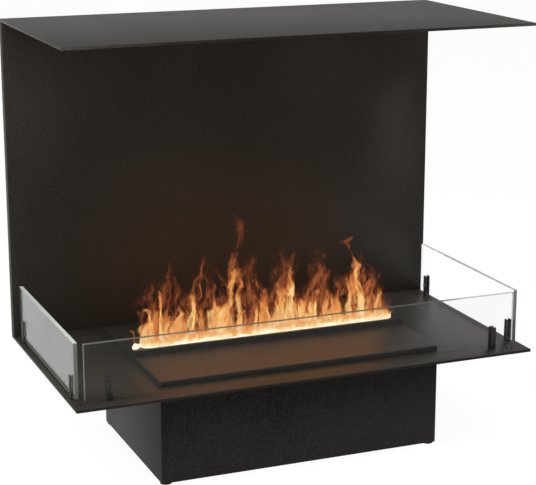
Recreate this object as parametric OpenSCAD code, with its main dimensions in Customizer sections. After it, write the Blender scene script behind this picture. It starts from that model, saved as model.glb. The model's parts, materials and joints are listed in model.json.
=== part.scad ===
// Water vapour fireplace: a C-shaped steel shell on a narrow pedestal.
// A glass guard stands on three sides of the hearth, and a mist cassette
// hangs in the hearth plate under a two-step deck with a flame slot.
// Millimetres. X runs along the width, Y to the wall, Z up from the floor,
// with the origin under the middle of the hearth.

/* [Shell] */
// Width of the hearth, the back panel and the canopy
shell_w = 1000; // [860:10:1400]
// Depth of the hearth plate, from its front edge to the wall
hearth_d = 520; // [500:5:680]
// Depth of the canopy, from its front edge to the wall
canopy_d = 490; // [300:5:600]
// Clear height between the hearth and the canopy
fire_h = 685; // [450:5:900]
// Thickness of the hearth plate and the canopy plate
plate_t = 6; // [5:0.5:10]
// Sheet thickness of the back panel
panel_t = 3; // [2:0.5:4]
// Depth of the back panel over its edge bars
panel_d = 20; // [18:1:40]
// Width of one stiffening rail behind the back panel
rail_w = 54; // [40:2:80]
// Depth of the stiffening rails
rail_d = 14; // [8:1:15]
// Sheet thickness of the stiffening rails
rail_t = 2; // [1.5:0.5:3]
// Bolts in the upper and in the lower edge bar
panel_bolt_count = 6; // [4:1:8]

/* [Pedestal] */
// Width of the pedestal and of the deck above it
pedestal_w = 620; // [610:5:760]
// Depth of the pedestal and of the deck above it
pedestal_d = 390; // [380:5:440]
// Height of the pedestal shell
pedestal_h = 200; // [190:5:400]
// Sheet thickness of the pedestal shell
pedestal_t = 3; // [2:0.5:4]
// Width of the inward flanges of the pedestal shell
flange_w = 22; // [20:1:24]
// Thickness of the base plate
base_t = 3; // [2:0.5:6]
// Diameter of a foot pad
pad_d = 24; // [20:1:30]
// Thickness of a foot pad
pad_t = 3; // [2.5:0.5:8]
// Diameter of the floor fixing holes in the base plate
floor_hole_d = 9; // [6:0.5:14]
// Spacing of the floor fixing holes along the width
floor_hole_x = 500; // [300:10:540]
// Spacing of the floor fixing holes along the depth
floor_hole_y = 260; // [160:10:300]
// Thickness of the removable rear panel
rear_t = 2; // [1:0.5:4]
// Length of one vent slot in the rear panel
vent_l = 60; // [30:5:90]
// Height of one vent slot
vent_h = 5; // [3:0.5:8]
// Rows of vent slots
vent_rows = 7; // [3:1:9]

/* [Glass guard] */
// Thickness of the glass panes
glass_t = 8; // [6:0.5:10]
// Height of the glass panes
glass_h = 115; // [80:5:200]
// Front pane's outer face, from the front edge of the hearth
front_inset = 32; // [20:1:50]
// Side panes' outer faces, from the side edges of the hearth
side_inset = 10; // [8:1:30]
// Open corner: from the outer face of one pane to the end of the next
corner_gap = 16; // [12:1:30]
// From the rear end of the side panes to the back panel
pane_rear_gap = 25; // [5:1:60]
// Width of a clip along its pane
clip_w = 11; // [9:1:30]
// Height of a clip
clip_h = 48; // [30:1:70]
// Wall on each side of the notch in a clip
clip_wall = 2.2; // [1.8:0.2:6]
// Solid base of a clip under its notch
clip_base = 4.4; // [3.6:0.2:8]
// Thickness of the soft liner in the notch
liner_t = 0.6; // [0.4:0.1:2]
// Front clips, from the ends of the front pane
front_clip_in = 49; // [20:1:120]
// Side clips, from the ends of the side panes
side_clip_in = 25; // [16:1:80]
// Height of the clamp screws above the hearth
clamp_z = 25; // [12:1:28]

/* [Deck] */
// Height of the covers above the hearth
deck_h = 12; // [10:0.5:14]
// Height of the nozzle bar above the hearth
bar_h = 26; // [24:0.5:40]
// Depth of the front cover
cover_d = 166; // [160:1:170]
// Depth of the nozzle bar
bar_d = 64; // [62:1:68]
// Sheet thickness of the covers and the nozzle bar
cover_t = 2; // [1.5:0.5:2.5]
// Length of the flame slot
slot_l = 582; // [400:2:584]
// Width of the flame slot
slot_w = 40; // [34:1:42]
// From the bar's front face to the flame slot
slot_in = 6; // [5:0.5:7]

/* [Cassette] */
// Depth of the cassette below the hearth's top face
case_h = 178; // [176:1:180]
// Sheet thickness of the cassette case
case_t = 2; // [1.5:0.5:2.5]
// Gap round the case in the hearth plate
case_gap = 5; // [3:0.5:6]
// Wall thickness of the mist trough
trough_wall = 3; // [2:0.5:3.5]
// Height of the mist trough
trough_h = 110; // [105:1:115]
// Number of ultrasonic discs
disc_count = 8; // [4:1:8]
// Diameter of an ultrasonic disc
disc_d = 20; // [16:1:22]
// Size of the square fan frames
fan_size = 60; // [50:1:62]
// Depth of the fan frames
fan_d = 15; // [14:1:20]
// Distance of each fan from the middle
fan_x = 150; // [60:5:220]
// Number of fan blades
blade_count = 7; // [5:1:9]
// Length of the water tank
tank_l = 420; // [300:10:430]
// Depth of the water tank
tank_d = 122; // [90:1:124]
// Height of the water tank
tank_h = 150; // [140:1:155]
// Wall thickness of the water tank
tank_wall = 3; // [2:0.5:4]
// Outer diameter of the filler neck
neck_d = 50; // [30:1:60]
// Diameter of the float
float_d = 32; // [20:1:40]
// Height of the float
float_h = 20; // [12:1:40]
// Outer diameter of the water hoses
hose_d = 11; // [10:0.5:14]
// Bore of the water hoses
hose_bore = 8; // [6:0.5:8.5]
// Diameter of the push buttons
button_d = 10; // [6:0.5:14]
// Travel of the push buttons
button_travel = 1.2; // [0.5:0.1:2]

/* [Fits] */
// Clearance between pieces that slide or turn on each other
run_gap = 0.3; // [0.2:0.05:0.5]
// Radial clearance of shafts and pivots in their bearings
bearing_gap = 0.08; // [0.03:0.01:0.1]
// Play on each side of the glass in its liners
glass_play = 0.2; // [0.1:0.05:0.5]
// Clearance added to the diameter of a bolt hole
bolt_play = 0.5; // [0.2:0.1:1]
// Root gap between sheets that are welded edge to edge
weld_gap = 0.1; // [0.05:0.05:0.3]
// Gap under the skirts of the covers and between the covers
cover_gap = 0.5; // [0.3:0.1:1]

/* [Hidden] */
$fn = 48;
EPS = 1;

// Heights of the main planes
pedestal_top = pad_t + pedestal_h;
hearth_top = pedestal_top + plate_t;
canopy_z = hearth_top + fire_h;
canopy_top = canopy_z + plate_t;
deck_top = hearth_top + deck_h;
bar_top = hearth_top + bar_h;

// The shell is centred on the hearth plate
front_y = -hearth_d / 2;
wall_y = hearth_d / 2;
panel_y = wall_y - panel_d;
canopy_y = wall_y - canopy_d;

// Bolts of the shell, M6, and small screws, M4
m6_d = 6;
m6_head_d = 10;
m6_head_h = 4;
m4_d = 4;
m4_head_d = 7.4;
m4_head_h = 2.4;
panel_bolt_in = 70;
panel_bolt_y = panel_y + panel_d * 0.6;
rail_x = shell_w / 5;
canopy_bolt_depth = plate_t - 1.5;

// Cut-out of the hearth plate and the frame bolts round it
cut_w = pedestal_w - 2 * (flange_w + 3);
cut_d = pedestal_d - 2 * (flange_w + 3);
frame_bolt_x = (cut_w / 2 + pedestal_w / 2) / 2;
frame_bolt_y = (cut_d / 2 + pedestal_d / 2) / 2;
frame_bolt_share = 0.65;
frame_bolt_span = 2 * frame_bolt_y * frame_bolt_share;
frame_bolt_long = 2 * frame_bolt_x * frame_bolt_share;

// Foot pads, under the bottom flange
pad_edge = 0.5;
pad_x = pedestal_w / 2 - pad_d / 2 - pad_edge;
pad_y = pedestal_d / 2 - pad_d / 2 - pad_edge;
pad_head_h = pad_t - 0.5;
base_z = pad_t + pedestal_t;

// Rear panel of the pedestal
rear_margin = 10;
rear_screw_in = 8;
inlet_x = -182;
switch_pitch = 60;
switch_x = inlet_x + switch_pitch;
inlet_w = 28;
inlet_h = 21;
inlet_flange_w = 50;
inlet_depth = 22;
inlet_wall = 2;
switch_w = 19;
switch_h = 27;

// Glass guard
front_pane_y = front_y + front_inset + glass_t / 2;
side_pane_x = shell_w / 2 - side_inset - glass_t / 2;
front_pane_l = shell_w - 2 * (side_inset + corner_gap);
side_pane_y0 = front_y + front_inset + corner_gap;
side_pane_y1 = panel_y - pane_rear_gap;
notch_w = glass_t + 2 * (glass_play + liner_t);
clip_t = notch_w + 2 * clip_wall;
glass_z = hearth_top + clip_base + liner_t;
front_clip_x = front_pane_l / 2 - front_clip_in;
clamp_d = 3;
clamp_head_d = 5.5;
clamp_head_h = 2.4;
clip_bolt_reach = clip_base - 1;

// Deck: front cover, nozzle bar and rear cover, over the pedestal
deck_x = pedestal_w / 2;
deck_y = pedestal_d / 2;
bar_y0 = -deck_y + cover_d;
bar_y1 = bar_y0 + bar_d;
slot_y0 = bar_y0 + slot_in;
slot_y1 = slot_y0 + slot_w;
skirt_z = hearth_top + cover_gap;
post_d = 10;

// Cassette case, hung by its flange
case_x = cut_w / 2 - case_gap;
case_y = cut_d / 2 - case_gap;
case_z = hearth_top - case_h;
case_floor = case_z + case_t;
inlet_z = case_floor + 19;
lip_x = deck_x - cover_t - 2;
lip_y = deck_y - cover_t - 2;
lip_top = hearth_top + case_t;
post_x = (case_x + lip_x) / 2;
post_h = deck_top - cover_t - lip_top;

// Mist trough and the throat above it
ledge_w = 14;
ledge_t = 3;
trough_x = case_x - case_t - ledge_w - 1;
trough_y0 = bar_y0 + 3;
trough_y1 = trough_y0 + bar_d - 6;
trough_z = case_floor + 28;
trough_top = trough_z + trough_h;
tab_x = case_x - case_t - 0.5;
throat_t = 1.5;
throat_top = bar_top - cover_t;
throat_x = slot_l / 2 + 2;
throat_bend = trough_top + 10;
throat_neck = trough_top + 35;
led_w = 5;
led_h = 15;
led_z = throat_top - led_h - 3;
led_x = slot_l / 2 - 2;
guide_w = 3;

// Ultrasonic discs under the trough
disc_in = 50;
disc_pitch = 2 * (trough_x - disc_in) / disc_count;
housing_d = disc_d + 16;
housing_h = 16;

// Fans behind the trough
fan_rise = 65;
fan_z = trough_z + fan_rise;
fan_bore = fan_size - 5;
rotor_r = fan_bore / 2 - 1.5;
hub_d = fan_size * 0.38;
rotor_w = fan_d - 6;
shaft_d = 3;

// Water tank at the front left, filler and float
tank_x0 = -case_x + case_t + 8;
tank_x1 = tank_x0 + tank_l;
tank_y1 = trough_y0 - 8;
tank_y0 = tank_y1 - tank_d;
tank_z1 = case_floor + tank_h;
tank_mid_y = (tank_y0 + tank_y1) / 2;
lid_t = 3;
lid_top = tank_z1 + lid_t;
neck_x = tank_x0 + tank_l * 0.19;
neck_h = 14;
neck_wall = 4;
cap_wall = 3;
cap_gap = 0.4;
float_x = tank_x0 + tank_l * 0.62;
stem_d = 6;
stem_stop_d = 14;
stem_head_d = 18;
stem_head_h = 8;
stem_z0 = case_floor + tank_wall + 1;
stop_h = 3;
spigot_z = case_floor + 18;
spigot_d = hose_bore - 0.2;
spigot_l = 8;

// Feed pump between the tank and the end wall, and its hoses
pump_d = 34;
pump_w = 44;
pump_base_h = 4;
pump_motor_l = 12;
pump_x = (tank_x1 + spigot_l + case_x - case_t - pump_motor_l + spigot_l - 2) / 2;
delivery_r = 20;
delivery_z0 = case_floor + 2 * (spigot_z - case_floor) + 8;
delivery_z1 = delivery_z0 + 6 + delivery_r;

// Controls over the pump, on the end wall, in a row along Y
panel_z = lid_top + 6;
controls_w = 46;
controls_t = 2;
controls_drop = 24;
controls_x1 = case_x - case_t;
controls_x0 = controls_x1 - controls_w;
button_pitch = 25;
controls_half = 2 * button_pitch;
button_x = controls_x0 + controls_w / 2;
button_proud = 3;
button_lip = 1.5;
board_t = 1.6;
switch_gap = 3;
board_z = panel_z - 14;
switch_top = panel_z - button_lip - switch_gap - button_travel;

// Electronics behind the trough
psu_x0 = -case_x + 20;
psu_l = 160;
psu_y0 = trough_y1 + fan_d + 16;
psu_y1 = case_y - 14;
psu_h = 40;
pcb_l = 160;
pcb_in = 30;
pcb_x0 = case_x - pcb_in - pcb_l;
plug_in = 6;
pcb_z = case_floor + 8;
lead_d = 7;
loom_d = 6;

steel = "#2b2a29";
zinc = "#a9acad";
black_plastic = "#1d1d1e";

// Box from its lowest corner to its highest corner
module block(low, high) {
    translate(low) cube(high - low);
}

// Row of bolts along the upper or the lower edge bar of the back panel
module at_panel_bolts(z) {
    step = (shell_w - 2 * panel_bolt_in) / (panel_bolt_count - 1);
    for (i = [0 : panel_bolt_count - 1])
        translate([-shell_w / 2 + panel_bolt_in + i * step, panel_bolt_y, z])
            children();
}

// Bolts that hold the hearth plate on the pedestal
module at_frame_bolts(z) {
    for (side = [-1, 1]) {
        for (i = [-1 : 1])
            translate([side * frame_bolt_x, i * frame_bolt_span / 2, z]) children();
        for (i = [-1 : 1])
            translate([i * frame_bolt_long / 2, side * frame_bolt_y, z]) children();
    }
}

module at_pads(z) {
    for (side = [-1, 1], end = [-1, 1])
        translate([side * pad_x, end * pad_y, z]) children();
}

module at_floor_holes(z) {
    for (side = [-1, 1], end = [-1, 1])
        translate([side * floor_hole_x / 2, end * floor_hole_y / 2, z]) children();
}

// Screws of the rear panel, along its upper and lower edges
module at_rear_screws(y) {
    reach = pedestal_w / 2 - rear_margin - rear_screw_in;
    rise = pedestal_h / 2 - rear_margin - rear_screw_in;
    for (i = [-1.5 : 1 : 1.5], side = [-1, 1])
        translate([i * reach / 1.5, y, pad_t + pedestal_h / 2 + side * rise])
            rotate([-90, 0, 0]) children();
}

// Clips along one pane; each child is drawn with its inner side towards +Y
module at_front_clips() {
    for (side = [-1, 1])
        translate([side * front_clip_x, front_pane_y, hearth_top]) children();
}

module at_side_clips(side) {
    for (y = [side_pane_y0 + side_clip_in, side_pane_y1 - side_clip_in])
        translate([side * side_pane_x, y, hearth_top])
            rotate([0, 0, side * 90]) children();
}

module at_all_clips() {
    at_front_clips() children();
    at_side_clips(-1) children();
    at_side_clips(1) children();
}

// Shell

module hearth_plate() {
    color(steel)
    difference() {
        block([-shell_w / 2, front_y, pedestal_top], [shell_w / 2, wall_y, hearth_top]);
        block([-cut_w / 2, -cut_d / 2, pedestal_top - EPS],
              [cut_w / 2, cut_d / 2, hearth_top + EPS]);
        at_all_clips()
            translate([0, 0, -plate_t - EPS])
                cylinder(d = m4_d + bolt_play, h = plate_t + 2 * EPS);
        at_panel_bolts(pedestal_top - EPS)
            cylinder(d = m6_d + bolt_play, h = plate_t + 2 * EPS);
        at_frame_bolts(pedestal_top - EPS)
            cylinder(d = m6_d + bolt_play, h = plate_t + 2 * EPS);
        at_frame_bolts(hearth_top - m6_head_h)
            cylinder(d1 = m6_d + bolt_play, d2 = m6_head_d + bolt_play, h = m6_head_h);
    }
}

// Sheet with four flat bars welded behind its edges
module back_panel() {
    x = shell_w / 2;
    y0 = panel_y + panel_t + weld_gap;
    color(steel)
    difference() {
        union() {
            block([-x, panel_y, hearth_top], [x, panel_y + panel_t, canopy_z]);
            for (z = [hearth_top, canopy_z - panel_t])
                block([-x, y0, z], [x, wall_y, z + panel_t]);
            for (side = [-1, 1])
                translate([side * (x - panel_t / 2), 0, 0])
                    block([-panel_t / 2, y0, hearth_top + panel_t + weld_gap],
                          [panel_t / 2, wall_y, canopy_z - panel_t - weld_gap]);
        }
        at_panel_bolts(hearth_top - EPS)
            cylinder(d = m6_d + bolt_play, h = panel_t + 2 * EPS);
        at_panel_bolts(canopy_z - panel_t - EPS)
            cylinder(d = m6_d + bolt_play, h = panel_t + 2 * EPS);
    }
}

// Two hat-section rails stiffen the back panel
module panel_rails() {
    z0 = hearth_top + panel_t + 2;
    z1 = canopy_z - panel_t - 2;
    y0 = panel_y + panel_t;
    crown = rail_w / 2 - 12;
    color(zinc)
    for (side = [-1, 1])
        translate([side * rail_x, 0, 0]) {
            block([-crown, y0 + rail_d - rail_t, z0], [crown, y0 + rail_d, z1]);
            for (edge = [-1, 1])
                translate([edge * (crown - rail_t / 2), 0, 0])
                    block([-rail_t / 2, y0, z0], [rail_t / 2, y0 + rail_d, z1]);
            block([-rail_w / 2, y0, z0], [-crown + rail_t, y0 + rail_t, z1]);
            block([crown - rail_t, y0, z0], [rail_w / 2, y0 + rail_t, z1]);
        }
}

module canopy_plate() {
    color(steel)
    difference() {
        block([-shell_w / 2, canopy_y, canopy_z], [shell_w / 2, wall_y, canopy_top]);
        at_panel_bolts(canopy_z - EPS)
            cylinder(d = m6_d, h = canopy_bolt_depth + EPS);
    }
}

// Bolts and nuts that join the back panel to the hearth plate
module panel_bolts() {
    nut_h = 5;
    color(zinc)
    at_panel_bolts(pedestal_top) {
        translate([0, 0, -m6_head_h]) cylinder(d = m6_head_d, h = m6_head_h, $fn = 6);
        cylinder(d = m6_d, h = plate_t + panel_t + nut_h + 1);
        translate([0, 0, plate_t + panel_t]) cylinder(d = m6_head_d, h = nut_h, $fn = 6);
    }
}

// Bolts from below, through the panel's upper edge into the canopy
module canopy_bolts() {
    color(zinc)
    at_panel_bolts(canopy_z - panel_t) {
        translate([0, 0, -m6_head_h]) cylinder(d = m6_head_d, h = m6_head_h, $fn = 6);
        cylinder(d = m6_d, h = panel_t + canopy_bolt_depth - 0.5);
    }
}

// Pedestal

// Welded box: front and side sheets, a rear frame, and a flat frame at each end
module pedestal_shell() {
    x = pedestal_w / 2;
    y = pedestal_d / 2;
    t = pedestal_t;
    inner_x = x - t - weld_gap;
    inner_y = y - t - weld_gap;
    color(steel)
    difference() {
        union() {
            for (side = [-1, 1]) {
                translate([0, side * (y - t / 2), 0])
                    block([-x, -t / 2, pad_t], [x, t / 2, pedestal_top]);
                translate([side * (x - t / 2), 0, 0])
                    block([-t / 2, -inner_y, pad_t], [t / 2, inner_y, pedestal_top]);
            }
            for (z = [pad_t, pedestal_top - t])
                block([-inner_x, -inner_y, z], [inner_x, inner_y, z + t]);
        }
        block([-x + flange_w, -y + flange_w, pad_t - EPS],
              [x - flange_w, y - flange_w, pedestal_top + EPS]);
        block([-x + flange_w, 0, pad_t + flange_w],
              [x - flange_w, y + EPS, pedestal_top - flange_w]);
        at_frame_bolts(pedestal_top - pedestal_t - EPS)
            cylinder(d = m6_d + bolt_play, h = pedestal_t + 2 * EPS);
        at_pads(pad_t - EPS) cylinder(d = m6_d + bolt_play, h = pedestal_t + 2 * EPS);
        at_rear_screws(y - pedestal_t - EPS)
            cylinder(d = m4_d, h = pedestal_t + 2 * EPS);
    }
}

module base_plate() {
    x = pedestal_w / 2 - pedestal_t - 0.5;
    y = pedestal_d / 2 - pedestal_t - 0.5;
    color(zinc)
    difference() {
        block([-x, -y, base_z], [x, y, base_z + base_t]);
        at_pads(base_z - EPS) cylinder(d = m6_d + bolt_play, h = base_t + 2 * EPS);
        at_floor_holes(base_z - EPS) cylinder(d = floor_hole_d, h = base_t + 2 * EPS);
    }
}

module foot_pads() {
    color(black_plastic)
    at_pads(0)
    difference() {
        cylinder(d = pad_d, h = pad_t);
        translate([0, 0, -EPS]) cylinder(d = m6_d + bolt_play, h = pad_t + 2 * EPS);
        translate([0, 0, -EPS]) cylinder(d = m6_head_d + 1, h = pad_head_h);
    }
}

// Bolts up through the pads, the flange and the base plate, with nuts
module pad_bolts() {
    stack = pad_t + pedestal_t + base_t;
    head_z = pad_head_h - 1.4;
    color(zinc)
    at_pads(0) {
        translate([0, 0, head_z]) cylinder(d = m6_head_d, h = pad_head_h - EPS - head_z);
        translate([0, 0, head_z]) cylinder(d = m6_d, h = stack + 6 - head_z);
        translate([0, 0, stack]) cylinder(d = m6_head_d, h = 5, $fn = 6);
    }
}

// Countersunk bolts from the hearth into the pedestal's top flange, with nuts
module frame_bolts() {
    sink = bolt_play * m6_head_h / (m6_head_d - m6_d);
    color(zinc)
    at_frame_bolts(hearth_top) {
        translate([0, 0, -m6_head_h - sink])
            cylinder(d1 = m6_d, d2 = m6_head_d, h = m6_head_h);
        translate([0, 0, -plate_t - pedestal_t - 6])
            cylinder(d = m6_d, h = plate_t + pedestal_t + 6 - m6_head_h + 1);
        translate([0, 0, -plate_t - pedestal_t - 5])
            cylinder(d = m6_head_d, h = 5, $fn = 6);
    }
}

// Slot with round ends, length along X, drawn flat
module stadium(l, w) {
    square([l - w, w], center = true);
    for (side = [-1, 1]) translate([side * (l - w) / 2, 0]) circle(d = w);
}

module rear_panel() {
    x = pedestal_w / 2 - rear_margin;
    y = pedestal_d / 2;
    z0 = pad_t + rear_margin;
    z1 = pedestal_top - rear_margin;
    vent_pitch = 2.6 * vent_h;
    color(steel)
    difference() {
        block([-x, y, z0], [x, y + rear_t, z1]);
        at_rear_screws(y - EPS) cylinder(d = m4_d + bolt_play, h = rear_t + 2 * EPS);
        for (column = [-1 : 2], row = [0 : vent_rows - 1])
            translate([column * (vent_l + 14), y + rear_t + EPS,
                       pad_t + pedestal_h / 2 + 16 + (row - (vent_rows - 1) / 2) * vent_pitch])
                rotate([90, 0, 0])
                    linear_extrude(rear_t + 2 * EPS) stadium(vent_l, vent_h);
        block([inlet_x - inlet_w / 2 - run_gap, y - EPS, inlet_z - inlet_h / 2 - run_gap],
              [inlet_x + inlet_w / 2 + run_gap, y + rear_t + EPS,
               inlet_z + inlet_h / 2 + run_gap]);
        block([switch_x - switch_w / 2 - run_gap, y - EPS, inlet_z - switch_h / 2 - run_gap],
              [switch_x + switch_w / 2 + run_gap, y + rear_t + EPS,
               inlet_z + switch_h / 2 + run_gap]);
    }
}

module rear_panel_screws() {
    color(zinc)
    at_rear_screws(pedestal_d / 2 + rear_t) {
        cylinder(d = m4_head_d, h = m4_head_h);
        translate([0, 0, -rear_t - pedestal_t - 2])
            cylinder(d = m4_d, h = rear_t + pedestal_t + 2 + EPS);
    }
}

// Glass guard

module front_glass() {
    color("#dfe9e4", 0.35)
    block([-front_pane_l / 2, front_pane_y - glass_t / 2, glass_z],
          [front_pane_l / 2, front_pane_y + glass_t / 2, glass_z + glass_h]);
}

module side_glass(side) {
    color("#dfe9e4", 0.35)
    translate([side * side_pane_x, 0, 0])
        block([-glass_t / 2, side_pane_y0, glass_z],
              [glass_t / 2, side_pane_y1, glass_z + glass_h]);
}

// Upright clip with a notch for the pane and two screw holes
module clip() {
    difference() {
        block([-clip_w / 2, -clip_t / 2, 0], [clip_w / 2, clip_t / 2, clip_h]);
        block([-clip_w / 2 - EPS, -notch_w / 2, clip_base],
              [clip_w / 2 + EPS, notch_w / 2, clip_h + EPS]);
        translate([0, 0, clamp_z]) rotate([-90, 0, 0])
            cylinder(d = clamp_d, h = clip_t);
        translate([0, 0, -EPS]) cylinder(d = m4_d, h = clip_bolt_reach + EPS);
    }
}

module front_clips() { color(black_plastic) at_front_clips() clip(); }
module left_clips() { color(black_plastic) at_side_clips(-1) clip(); }
module right_clips() { color(black_plastic) at_side_clips(1) clip(); }

module clip_liners() {
    color("#3a3a3a")
    at_all_clips()
    difference() {
        block([-clip_w / 2, -notch_w / 2, clip_base], [clip_w / 2, notch_w / 2, clip_h - 1]);
        block([-clip_w / 2 - EPS, -notch_w / 2 + liner_t, clip_base + liner_t],
              [clip_w / 2 + EPS, notch_w / 2 - liner_t, clip_h]);
    }
}

// Screws through the inner wall of each clip, against the liner
module clamp_screws() {
    color(zinc)
    at_all_clips()
        translate([0, notch_w / 2, clamp_z]) rotate([-90, 0, 0]) {
            cylinder(d = clamp_d, h = clip_wall + EPS);
            translate([0, 0, clip_wall]) cylinder(d = clamp_head_d, h = clamp_head_h);
        }
}

module clip_bolts() {
    color(zinc)
    at_all_clips()
        translate([0, 0, -plate_t]) {
            cylinder(d = m4_d, h = plate_t + clip_bolt_reach - 0.2);
            translate([0, 0, -m4_head_h]) cylinder(d = m4_head_d, h = m4_head_h);
        }
}

// Deck

// Posts on the case's flange that carry a cover, at the given two depths
module at_posts(depths) {
    for (side = [-1, 1], y = depths) translate([side * post_x, y, lip_top]) children();
}

front_posts = [-deck_y + 20, bar_y0 - 20];
rear_posts = [bar_y1 + 20, deck_y - 20];

// Folded lid with skirts on three sides, open where it meets the bar
module lid(y0, y1, open_side) {
    inner_y0 = y0 + (open_side < 0 ? -EPS : cover_t);
    inner_y1 = y1 - (open_side > 0 ? -EPS : cover_t);
    difference() {
        block([-deck_x, y0, skirt_z], [deck_x, y1, deck_top]);
        block([-deck_x + cover_t, inner_y0, skirt_z - EPS],
              [deck_x - cover_t, inner_y1, deck_top - cover_t]);
    }
}

module front_cover() {
    color(steel) lid(-deck_y, bar_y0 - cover_gap, 1);
}

module cover_bumpers() {
    color(black_plastic) at_posts(front_posts) cylinder(d = post_d, h = post_h);
}

module rear_cover() {
    color(steel)
    difference() {
        lid(bar_y1 + cover_gap, deck_y, -1);
        at_posts(rear_posts) {
            cylinder(d = m4_d + bolt_play, h = post_h + cover_t + EPS);
            translate([0, 0, post_h])
                cylinder(d1 = m4_d + bolt_play, d2 = m4_head_d + bolt_play, h = cover_t);
        }
    }
}

module rear_cover_screws() {
    color(black_plastic)
    at_posts(rear_posts) {
        cylinder(d = m4_d, h = post_h);
        translate([0, 0, post_h])
            cylinder(d1 = m4_d, d2 = m4_head_d, h = cover_t - 0.2);
    }
}

// Raised bar with the flame slot; it stands on the case's flange
module nozzle_bar() {
    color(steel)
    difference() {
        block([-deck_x, bar_y0, skirt_z], [deck_x, bar_y1, bar_top]);
        block([-deck_x + cover_t, bar_y0 + cover_t, skirt_z - EPS],
              [deck_x - cover_t, bar_y1 - cover_t, bar_top - cover_t]);
        block([-deck_x + cover_t, bar_y0 - EPS, skirt_z - EPS],
              [deck_x - cover_t, bar_y1 + EPS, lip_top]);
        translate([0, (slot_y0 + slot_y1) / 2, bar_top - cover_t - EPS])
            linear_extrude(cover_t + 2 * EPS) stadium(slot_l, slot_w);
        at_bar_screws(bar_y1 - cover_t - EPS)
            cylinder(d = m4_d + bolt_play, h = cover_t + 2 * EPS);
    }
}

// Three screws through the bar's rear skirt into the throat's bosses
boss_w = 9;
bar_screw_in = 60;
bar_screw_z = bar_top - cover_t - boss_w / 2 - 0.5;

module at_bar_screws(y) {
    for (i = [-1 : 1])
        translate([i * (deck_x - bar_screw_in), y, bar_screw_z]) rotate([-90, 0, 0]) children();
}

module bar_screws() {
    color(black_plastic)
    at_bar_screws(bar_y1) {
        cylinder(d = m4_head_d, h = m4_head_h);
        translate([0, 0, -cover_t - 8]) cylinder(d = m4_d, h = cover_t + 8 + EPS);
    }
}

// Cassette

// Welded tray: floor, four walls and a flat lip that lies on the hearth plate
module cassette_case() {
    inner_x = case_x - case_t - weld_gap;
    inner_y = case_y - case_t - weld_gap;
    color(zinc)
    difference() {
        union() {
            block([-inner_x, -inner_y, case_z], [inner_x, inner_y, case_floor]);
            for (side = [-1, 1]) {
                translate([0, side * (case_y - case_t / 2), 0])
                    block([-case_x, -case_t / 2, case_z], [case_x, case_t / 2, lip_top]);
                translate([side * (case_x - case_t / 2), 0, 0])
                    block([-case_t / 2, -inner_y, case_z], [case_t / 2, inner_y, lip_top]);
                // Ledges on the end walls carry the trough
                translate([side * (inner_x - ledge_w / 2), 0, 0])
                    block([-ledge_w / 2, trough_y0, trough_top - 2 * ledge_t],
                          [ledge_w / 2, trough_y1, trough_top - ledge_t]);
            }
            difference() {
                block([-lip_x, -lip_y, hearth_top], [lip_x, lip_y, lip_top]);
                block([-case_x - weld_gap, -case_y - weld_gap, hearth_top - EPS],
                      [case_x + weld_gap, case_y + weld_gap, lip_top + EPS]);
            }
            at_posts(rear_posts)
                translate([0, 0, weld_gap]) cylinder(d = post_d, h = post_h - weld_gap);
        }
        at_posts(rear_posts) cylinder(d = m4_d, h = post_h + EPS);
        // Rear wall: lead hole behind the power supply, air slots behind the fans
        translate([inlet_x, case_y + EPS, inlet_z]) rotate([90, 0, 0])
            cylinder(d = lead_d + 2, h = case_t + 2 * EPS);
        for (side = [-1, 1], row = [-2 : 2])
            translate([side * fan_x, case_y + EPS, fan_z + row * 13])
                rotate([90, 0, 0])
                    linear_extrude(case_t + 2 * EPS) stadium(vent_l, vent_h);
    }
}

// Funnel that narrows from the trough to the flame slot
module mist_throat() {
    module hollow(grow, low, high) {
        y0 = trough_y0 + trough_wall - grow;
        y1 = trough_y1 - trough_wall + grow;
        rotate([90, 0, 90])
            linear_extrude(2 * (trough_x - trough_wall + grow), center = true)
                polygon([[y0, low], [y1, low], [y1, throat_bend],
                         [slot_y1 + grow, throat_neck], [slot_y1 + grow, high],
                         [slot_y0 - grow, high], [slot_y0 - grow, throat_neck],
                         [y0, throat_bend]]);
        block([-throat_x - grow, slot_y0 - grow, lip_top + throat_t - grow],
              [throat_x + grow, slot_y1 + grow, high]);
    }
    color("#c4c6c8")
    difference() {
        union() {
            hollow(throat_t, trough_top, throat_top);
            // Bosses for the bar's screws
            for (i = [-1 : 1])
                translate([i * (deck_x - bar_screw_in), 0, 0])
                    block([-boss_w / 2, slot_y1, bar_screw_z - boss_w / 2],
                          [boss_w / 2, bar_y1 - cover_t, bar_screw_z + boss_w / 2]);
        }
        hollow(0, trough_top - EPS, throat_top + EPS);
        at_bar_screws(bar_y1 - cover_t - 8) cylinder(d = m4_d, h = 8 + EPS);
    }
}

// Lamp rails along both long sides of the slot, and their glowing guides
module at_lamp_rails() {
    translate([0, slot_y0, led_z]) children();
    translate([0, slot_y1, led_z]) mirror([0, 1, 0]) children();
}

module led_rails() {
    color("#b9bcc0")
    at_lamp_rails()
    difference() {
        block([-led_x, 0, 0], [led_x, led_w, led_h]);
        block([-led_x - EPS, led_w - guide_w, 1.5], [led_x + EPS, led_w + EPS, led_h - 1.5]);
    }
}

module light_guides() {
    color("#ffd28a")
    at_lamp_rails()
        block([-led_x, led_w - guide_w, 1.5], [led_x, led_w + 1, led_h - 1.5]);
}

module at_discs(z) {
    for (i = [0 : disc_count - 1])
        translate([(i - (disc_count - 1) / 2) * disc_pitch,
                   (trough_y0 + trough_y1) / 2, z])
            children();
}

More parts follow.
